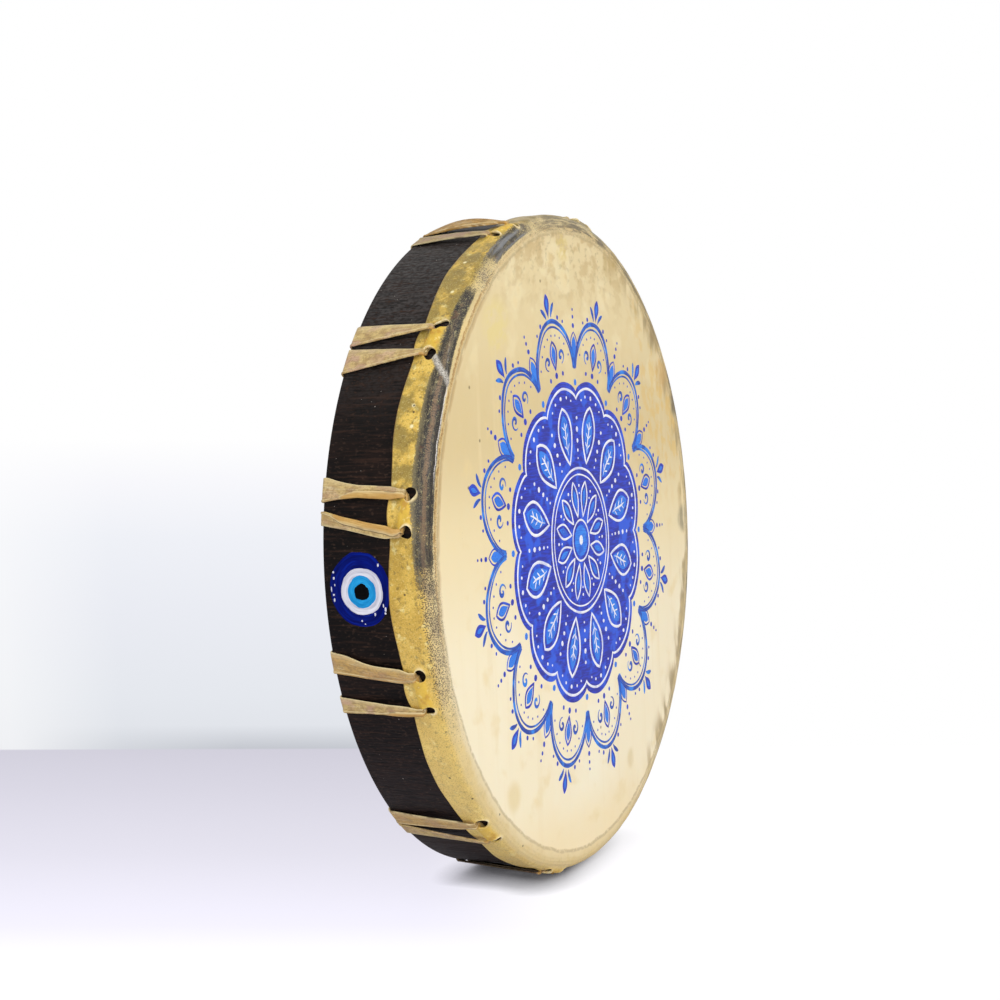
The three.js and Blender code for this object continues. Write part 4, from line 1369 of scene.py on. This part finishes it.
# Welded steel ring, zinc plated and dulled by handling: grey, softly streaked round the rod
platedSteel = {
    "name": "zinc plated steel",
    "clouds": {"scuffs": (1.5, 1.5, 1.5, 4), "dull": (9, 9, 9, 3)},
    "coats": ["#a9abac", ("#8b8a86", 1, ("dull", 0.35, 0.7))],
    "rough": ("scuffs", 0.3, 0.7, 0.28, 0.46),
    "relief": {"scuffs": 1},
    "strength": 0.15,
    "deep": 0.1,
    "sockets": {"Metallic": 1.0},
}

# Soft tanned hide wound wet round the grip: matt, tan-brown and darker where hands hold it
tannedHide = {
    "name": "tanned hide",
    "run": "run",
    "marks": ["cut"],
    "clouds": {"grain": (1.6, 1.2, 1000, 3), "patch": (22, 6, 1000, 4)},
    "coats": ["#8f6a40", ("#bd9560", 1, ("patch", 0.35, 0.68)), ("#6f4c28", 0.5, ("grain", 0.5, 0.7)),
              ("#d2b07c", 0.7, ("cut", 0, 1))],
    "rough": ("grain", 0.3, 0.7, 0.7, 0.8),
    "relief": {"grain": 1},
    "strength": 0.5,
    "deep": 0.25,
    "sockets": {"Sheen Weight": 0.15},
}


def makeRing():
    points = []
    faces = []
    rings, count = grip["ringSteps"], grip["rodSteps"]
    for k in range(rings):
        angle = 360 * k / rings
        fromWeld = turnBetween(angle, grip["weldAngle"]) / grip["weldWidth"]
        swell = grip["weldSwell"] * math.exp(-fromWeld ** 2)
        rod = grip["ringRod"] / 2 + swell * (0.8 + 0.4 * ripple(angle / 1.2, 4))
        for j in range(count):
            a = 2 * math.pi * j / count
            points.append(onDrum(lace["ringDiameter"] / 2 + rod * math.cos(a), angle,
                                 lace["ringDepth"] + rod * math.sin(a)))
        faces += bridge(ringNumbers(k, count), ringNumbers((k + 1) % rings, count))
    piece = addPiece("steel_ring", points, faces, [makeFinish(platedSteel)])
    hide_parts("centre_ring")


def stadium(share):  # place round a binding's turn: sideways and towards the back, in mm
    straight, bend = 2 * grip["straight"], math.pi * grip["round"]
    whole = 2 * (straight + bend)
    gone = share % 1 * whole
    if gone < bend:
        a = gone / grip["round"]
        return grip["straight"] + grip["round"] * math.sin(a), grip["round"] * math.cos(a)
    gone -= bend
    if gone < straight:
        return grip["straight"] - gone, -grip["round"]
    gone -= straight
    if gone < bend:
        a = gone / grip["round"]
        return -grip["straight"] - grip["round"] * math.sin(a), -grip["round"] * math.cos(a)
    return -grip["straight"] + gone - bend, grip["round"]


def makeBindings():
    material = makeFinish(tannedHide)
    for spoke in range(4):
        spokeAngle = drum["firstPair"] + 90 * spoke
        out, up = outward(spokeAngle), onward(spokeAngle)
        stations = []
        count = grip["turns"] * grip["stepsPerTurn"]
        for k in range(count + 1):
            share = k / grip["stepsPerTurn"]
            offset, rise = stadium(share)
            waver = grip["waver"] * ripple(share * 1.7, spoke * 5.1)
            wide = grip["width"] + grip["widthWaver"] * ripple(share * 2.3, spoke * 3.3, 2)
            at = onDrum(grip["start"] + grip["pitch"] * share + waver, spokeAngle, lace["ringDepth"] + rise)
            stations.append({"at": at + up * offset * mm, "across": out, "flip": 1, "strap": 1.0,
                             "width": wide, "base": -grip["thickness"] / 2, "layer": grip["thickness"],
                             "flap": 1.4, "fold": 0.0, "cup": 0.0, "pinked": 0, "golden": 0, "grimeAndShade": 0,
                             "groove": 0})
        points, faces, marks = makeRibbon(stations, 0.31 * spoke + 0.11)
        marks = {key: marks[key] for key in ("run", "cut")}
        piece = addPiece(f"grip_binding_{spoke + 1}", points, faces, [material], marks, sharpAngle=60)
        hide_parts(f"spoke_binding_{spoke + 1}")


makeRing()
makeBindings()
print("grip done")


# Painted eye charm on the hoop, in four coats of enamel
charm = {
    "angle": -3.0,
    "depth": 42,
    "halfWidth": 18,  # along the drum's depth
    "halfHeight": 20,
    "coat": 0.09,
    "sink": 0.04,  # each coat starts this far below its ground
    "roundOff": 0.05,
    "segments": 96,
    "rings": [0.2, 0.45, 0.7, 0.88, 0.97, 1],
}


# White flecks that are painted glints on the glossy navy: mm towards the back and up from the middle,
# then half sizes
glintFlecks = [
    (15.6, 9.4, 0.55, 0.6), (15.5, 6.2, 0.55, 0.8), (15.1, 2.6, 0.35, 0.6), (17.3, 0.4, 0.35, 1.3),
    (16.1, -2.6, 0.6, 0.6), (15.9, -5.4, 0.5, 1.0), (-11.7, 13.2, 0.5, 0.9), (-13.5, -8.2, 0.35, 1.0),
    (-14.6, -10.2, 0.6, 1.2), (-14.3, -12.3, 0.6, 0.6), (-8.1, -12.9, 0.5, 0.9), (-1.5, -18.2, 0.4, 0.3),
    (0.3, -16.5, 0.5, 0.5),
]


def enamel(name, tones, strokeWidth=0.9):
    # Brushed enamel: glossy, with fine streaks that go the way of the brush
    return makeFinish({
        "name": name,
        "run": "stroke",
        "clouds": {"streak": (1, strokeWidth, 1, 3), "patch": (4.3, 4.3, 4.3, 3)},
        "coats": [tones[0], (tones[1], 1, ("streak", 0.38, 0.66)), (tones[2], 0.8, ("patch", 0.45, 0.68))],
        "rough": 0.32,
        "relief": {"streak": 1},
        "strength": 0.3,
        "deep": 0.08,
        "sockets": {"Specular IOR Level": 0.05},
    })


def onHoop(up, back, height):  # from the charm's middle: mm up the hoop, mm towards its back, mm off it
    angle = charm["angle"] + math.degrees(up / hoop["outerRadius"])
    return onDrum(hoop["outerRadius"] + height, angle, charm["depth"] + back)


def paintedDisc(centre, halfWidth, halfHeight, coat, seed, wobble):
    # A low button of paint with a hand-drawn edge
    points, faces, strokes = [], [], []
    count = charm["segments"]
    bottom, top = charm["coat"] * (coat - 1), charm["coat"] * coat
    rows = [(1, bottom - charm["sink"])]
    rows += [(share, top - charm["roundOff"] * share ** 8) for share in charm["rings"][::-1]]
    for share, height in rows:
        for k in range(count):
            a = 2 * math.pi * k / count
            edge = 1 + wobble * ripple(1.6 * math.cos(a), 1.6 * math.sin(a), seed)
            edge += wobble * 0.35 * ripple(5 * math.cos(a), 5 * math.sin(a), seed + 5)
            back = centre[0] + halfWidth * share * edge * math.cos(a)
            up = centre[1] + halfHeight * share * edge * math.sin(a)
            points.append(onHoop(up, back, height))
            stroke = (1.4 * math.cos(a), halfWidth * share, 1.4 * math.sin(a) + seed)
            strokes.append([v * mm for v in stroke])
    for r in range(len(rows) - 1):
        faces += bridge(ringNumbers(r, count), ringNumbers(r + 1, count))
    for row, height in ((len(rows) - 1, top), (0, bottom - charm["sink"])):
        faces += fan(ringNumbers(row, count), len(points))
        points.append(onHoop(centre[1], centre[0], height))
        strokes.append([0, 0, seed * mm])
    return points, faces, strokes


def joinShapes(shapes):
    points, faces, strokes = [], [], []
    for somePoints, someFaces, someStrokes in shapes:
        start = len(points)
        points += somePoints
        strokes += someStrokes
        faces += [tuple(v + start for v in face) for face in someFaces]
    return points, faces, strokes


def makeCharm():
    navy = enamel("navy enamel", ("#03106a", "#062088", "#020846"))
    white = enamel("white enamel", ("#d6d6e0", "#b9bac9", "#f2f2fa"), 0.5)
    sky = enamel("sky blue enamel", ("#1c8fd0", "#2ea6e2", "#1478b8"), 0.5)
    black = enamel("black enamel", ("#030304", "#08080a", "#020203"))
    w, h = charm["halfWidth"], charm["halfHeight"]
    coats = [
        ("charm_navy", navy, [paintedDisc((0, 0), w, h, 1, 2.2, 0.05)]),
        ("charm_white", white,
         [paintedDisc((-1.2, -0.9), w * 0.705, h * 0.63, 2, 4.5, 0.05)]
         # painted glints on the navy, as small white flecks
         + [paintedDisc((back, up), a, b, 2, 9 + back, 0.2) for back, up, a, b in glintFlecks]),
        ("charm_sky", sky, [paintedDisc((-1.2, -0.95), w * 0.475, h * 0.425, 3, 6.1, 0.08)]),
        ("charm_black", black, [paintedDisc((-1.2, -1.1), w * 0.25, h * 0.22, 4, 8.4, 0.14)]),
    ]
    for name, material, shapes in coats:
        points, faces, strokes = joinShapes(shapes)
        piece = addPiece(name, points, faces, [material], {"stroke": strokes}, sharpAngle=70)


makeCharm()
print("charm done")


# Painted rosette on the face
rosette = {
    "petals": 12,
    "medallion": 92,
    "lobe": 8,
    "line": 1.5,
    "inner": 1.14,  # size of the medallion's motifs
    "lobeFoot": 106,
    "coat": 0.07,
    "sink": 0.06,  # every coat starts this far below the face
    "shoulder": 0.7,  # height of a stroke's sides against its middle
    "widen": 1.25,  # strokes and dots are drawn wider than written, as a loaded brush leaves them
    "widenDots": 1.15,
    "wobble": 0.55,  # how far the hand strays from the drawing
    "wobbleSize": 16,
}


def acrylic(name, tones):
    # Artist's acrylic brushed on rawhide: satin, streaked along the stroke, thin enough to vary in tone
    return makeFinish({
        "name": name,
        "run": "stroke",
        "clouds": {"streak": (9, 1.1, 1, 4), "wash": (11, 11, 11, 3)},
        "coats": [tones[0], (tones[1], 1, ("streak", 0.4, 0.64)), (tones[2], 0.9, ("wash", 0.5, 0.64))],
        "rough": 0.45,
        "relief": {"streak": 1},
        "strength": 0.35,
        "deep": 0.1,
    })


class Paint:  # strokes and filled shapes of one colour
    def __init__(self, coat):
        self.top = rosette["coat"] * coat
        self.side = self.top * rosette["shoulder"]
        self.bottom = -rosette["sink"]
        self.points = []
        self.faces = []
        self.strokes = []
        self.drawn = 0

    def place(self, x, z, height, stroke):
        size = rosette["wobbleSize"]
        strayX = rosette["wobble"] * ripple(x / size, z / size, 1)
        strayZ = rosette["wobble"] * ripple(x / size, z / size, 6)
        self.points.append(onFace(x + strayX, z + strayZ, head["dish"] - height))
        self.strokes.append([v * mm for v in stroke])
        return len(self.points) - 1

    def line(self, path, widths, closed=False):
        # A brush stroke: rounded on top, its ends closed. widths is one number or one for each point
        count = len(path)
        self.drawn += 1
        loaded = rosette["widen"] + 0.16 * ripple(self.drawn * 1.7, self.top * 50)
        rings, run = [], 0.0
        section = ((-1, self.bottom), (-0.92, self.side), (0, self.top), (0.92, self.side),
                   (1, self.bottom))
        for k, (x, z) in enumerate(path):
            before = path[(k - 1) % count] if closed else path[max(k - 1, 0)]
            after = path[(k + 1) % count] if closed else path[min(k + 1, count - 1)]
            dx, dz = after[0] - before[0], after[1] - before[1]
            length = math.hypot(dx, dz) or 1.0
            nx, nz = -dz / length, dx / length
            run += math.hypot(x - path[k - 1][0], z - path[k - 1][1]) if k else 0.0
            wide = (widths if isinstance(widths, (int, float)) else widths[k]) * loaded / 2
            wide *= 1 + 0.14 * ripple(x / 4, z / 4, self.drawn)
            rings.append([self.place(x + nx * wide * share, z + nz * wide * share, height,
                                     (run, wide * share, self.drawn * 3.3)) for share, height in section])
        for ring, nextRing in zip(rings, rings[1:] + rings[:closed]):
            self.faces += bridge(ring, nextRing)
        if not closed:
            self.faces += [tuple(rings[0]), tuple(rings[-1])]

    def fill(self, outline, middle):
        # A filled shape that its middle point can see the whole edge of
        self.drawn += 1
        seed = self.drawn * 3.3
        rows = [(1, self.bottom), (1, self.side), (0.94, self.top), (0.5, self.top)]
        rings = []
        for share, height in rows:
            rings.append([self.place(lerp(middle[0], x, share), lerp(middle[1], z, share), height,
                                     (x * share, z * share, seed)) for x, z in outline])
        for ring, nextRing in zip(rings, rings[1:]):
            self.faces += bridge(ring, nextRing)
        for ring, height in ((rings[-1], self.top), (rings[0], self.bottom)):
            self.faces += fan(ring, self.place(*middle, height, (*middle, seed)))

    def dot(self, x, z, size):
        size *= rosette["widenDots"]
        stretch = 1 + 0.12 * ripple(x, z, 3)
        outline = [(x + size / 2 * stretch * math.cos(a), z + size / 2 / stretch * math.sin(a))
                   for a in (2 * math.pi * k / 12 for k in range(12))]
        self.fill(outline, (x, z))


def turned(path, angle):  # (outwards, sideways) pairs to face coordinates
    a = math.radians(angle)
    return [(r * math.cos(a) - w * math.sin(a), r * math.sin(a) + w * math.cos(a)) for r, w in path]


def petalOutline(inner, outer, halfWidth, point=0.8, lean=1.0, steps=14):
    side = [(lerp(inner, outer, k / steps), halfWidth * math.sin(math.pi * (k / steps) ** lean) ** point)
            for k in range(steps + 1)]
    return side + [(r, -w) for r, w in side[-2:0:-1]]


def arcAround(radiusAt, steps=360):  # closed line given by its radius at each angle
    return [(radiusAt(360 * k / steps) * math.cos(2 * math.pi * k / steps),
             radiusAt(360 * k / steps) * math.sin(2 * math.pi * k / steps)) for k in range(steps)]


def tapered(count, wide):  # widths of a stroke that starts round and trails off
    return [wide * (0.25 + 0.75 * math.sin(math.pi * (1 - k / (count - 1)) ** 0.7)) for k in range(count)]


def curl(start, side, size, turns=1.1, steps=22):  # spiral stroke from a point, as (outwards, sideways)
    path = []
    for k in range(steps):
        t = k / (steps - 1)
        a = math.pi * 2 * turns * t
        spread = size * (1 - t) ** 0.8
        path.append((start[0] + size - spread * math.cos(a), start[1] + side * spread * math.sin(a)))
    return path


def spot(out, aside, angle, scale=1.0):  # one place, as (outwards, sideways)
    return turned([(out * scale, aside * scale)], angle)[0]


def inMedallion(path, angle):
    grow = rosette["inner"]
    return turned([(r * grow, w * grow) for r, w in path], angle)


# The painting's colours, each with the coat that it lies in
royal, linework, azure, white = Paint(1), Paint(1), Paint(2), Paint(3)


def paintMedallion():  # scalloped ground, rings, and the middle of the flower
    def scallop(angle):
        return rosette["lobe"] * abs(math.sin(math.radians(angle * rosette["petals"] / 2))) ** 0.7

    edge, grow = rosette["medallion"], rosette["inner"]
    royal.fill(arcAround(lambda angle: edge + scallop(angle)), (0, 0))
    white.line(arcAround(lambda angle: edge - 4.5 + scallop(angle)), rosette["line"] * 0.9, closed=True)
    for radius, wide in ((39, 1.3), (35.5, 0.8), (11, 1.1)):
        white.line(arcAround(lambda angle: radius * grow, 120), wide, closed=True)
    azure.fill(arcAround(lambda angle: 8.5 * grow, 36), (0, 0))
    white.dot(0, 0, 5)


def paintPetals(at, between):  # a small petal, a big one with a veined leaf, and dots beside them
    line, grow = rosette["line"], rosette["inner"]
    white.line(inMedallion(petalOutline(13, 32.5, 3.8, 0.9, 1.2), at), line * 0.75, closed=True)
    azure.fill(inMedallion(petalOutline(18, 29, 1.7, 0.9, 1.2), at), spot(24, 0, at, grow))
    for reach, size in ((29.5, 1.7), (25.5, 1.2)):
        white.dot(*spot(reach, 0, between, grow), size)
    white.line(inMedallion(petalOutline(42.5, 74, 8.4, 0.75, 1.25), at), line, closed=True)
    azure.fill(inMedallion(petalOutline(46.5, 70.5, 5.2, 0.8, 1.25), at), spot(60, 0, at, grow))
    rib = inMedallion([(48 + k, 0.4 * math.sin(k / 3)) for k in range(19)], at)
    white.line(rib, tapered(len(rib), 1.2))
    for side in (-1, 1):
        for reach in (54, 59.5, 64.5):
            vein = inMedallion([(reach - 3 * (1 - t / 5), side * 3.3 * t / 5) for t in range(6)], at)
            white.line(vein, tapered(6, 0.9))
        for reach, aside, size in ((78, 7.5, 1.7), (75, 12.6, 1.3)):
            white.dot(*spot(reach, side * aside, at, grow), size)
    for reach, size in ((44.5, 1.3), (49, 1.8), (54.3, 2.3), (60.3, 2.8), (66.5, 2.0)):
        white.dot(*spot(reach, 0, between, grow), size)
    white.dot(*spot(79.2, 0, at, grow), 2.4)


def paintLobes(at, between):  # dots, then a lobe of two lines with a dotted string, a leaf and curls inside
    step, foot = 360 / rosette["petals"], rosette["lobeFoot"]
    for reach, aside, size in ((105, 0, 3.4), (104, -9.5, 2.4), (104, 9.5, 2.4)):
        royal.dot(*spot(reach, aside, at), size)
    azure.dot(*spot(97.5, 0, between), 3.4)
    for inset, wide in ((0, 2.4), (4.4, 1.1)):
        lobe = []
        for k in range(41):
            t = k / 40
            a = math.radians((t - 0.5) * step)
            reach = foot + inset * 0.2 + (32 - inset) * math.sin(math.pi * t) ** 0.62
            lobe.append((reach * math.cos(a), reach * math.sin(a) * (1 - inset * 0.016)))
        linework.line(turned(lobe, at), wide)
    for k in range(-4, 5):
        a = math.radians(k * step * 0.088)
        reach = foot + 23.5 * math.cos(k / 4.6 * math.pi / 2) ** 0.62
        royal.dot(*spot(reach * math.cos(a), reach * math.sin(a), at), 1.3)
    royal.line(turned(petalOutline(108.5, 126, 4.6, 0.85, 1.3), at), 1.3, closed=True)
    azure.fill(turned(petalOutline(111, 123.5, 2.9, 0.85, 1.3), at), spot(118, 0, at))
    for side in (-1, 1):
        coil = turned(curl((110, side * 10), side, 4.6), at)
        linework.line(coil, tapered(len(coil), 2.0))


def paintBuds(at, between):  # buds on the lobes, and a leaf and dots between them
    royal.fill(turned(petalOutline(140, 155, 3.4, 0.9, 1.4), at), spot(148, 0, at))
    azure.fill(turned(petalOutline(144, 152, 1.4, 0.9, 1.4), at), spot(148.5, 0, at))
    for side in (-1, 1):
        spray = turned([(140 + 7.5 * t / 9, side * (3.5 + 6 * (t / 9) ** 1.6)) for t in range(10)], at)
        linework.line(spray, tapered(10, 2.4))
        for reach, aside, size in ((138, 13, 2.4), (134, 19.5, 1.8)):
            royal.dot(*spot(reach, side * aside, at), size)
    azure.fill(turned(petalOutline(111, 126, 3.2, 0.9, 1.5), between), spot(121, 0, between))
    royal.line(turned(petalOutline(109, 128.5, 4.6, 0.9, 1.5), between), 0.9, closed=True)
    for reach, size in ((132.5, 2.8), (138, 2.1), (142.5, 1.6)):
        royal.dot(*spot(reach, 0, between), size)


def makeRosette():
    paintMedallion()
    for petal in range(rosette["petals"]):
        at = 360 / rosette["petals"] * (petal + 0.5)
        between = 360 / rosette["petals"] * petal
        paintPetals(at, between)
        paintLobes(at, between)
        paintBuds(at, between)
    coats = [
        ("rosette_royal", royal, acrylic("ultramarine acrylic", ("#06189a", "#0c36cc", "#145ae4"))),
        ("rosette_linework", linework, acrylic("mid blue acrylic", ("#0a3aa0", "#0f62d2", "#148af0"))),
        ("rosette_azure", azure, acrylic("azure acrylic", ("#0f70e4", "#2a92f6", "#0d55cc"))),
        ("rosette_white", white, acrylic("white acrylic", ("#f0f0fa", "#ffffff", "#d4d8f2"))),
    ]
    for name, paint, material in coats:
        marks = {"stroke": paint.strokes}
        piece = addPiece(name, paint.points, paint.faces, [material], marks, sharpAngle=80)


makeRosette()
print("rosette done")
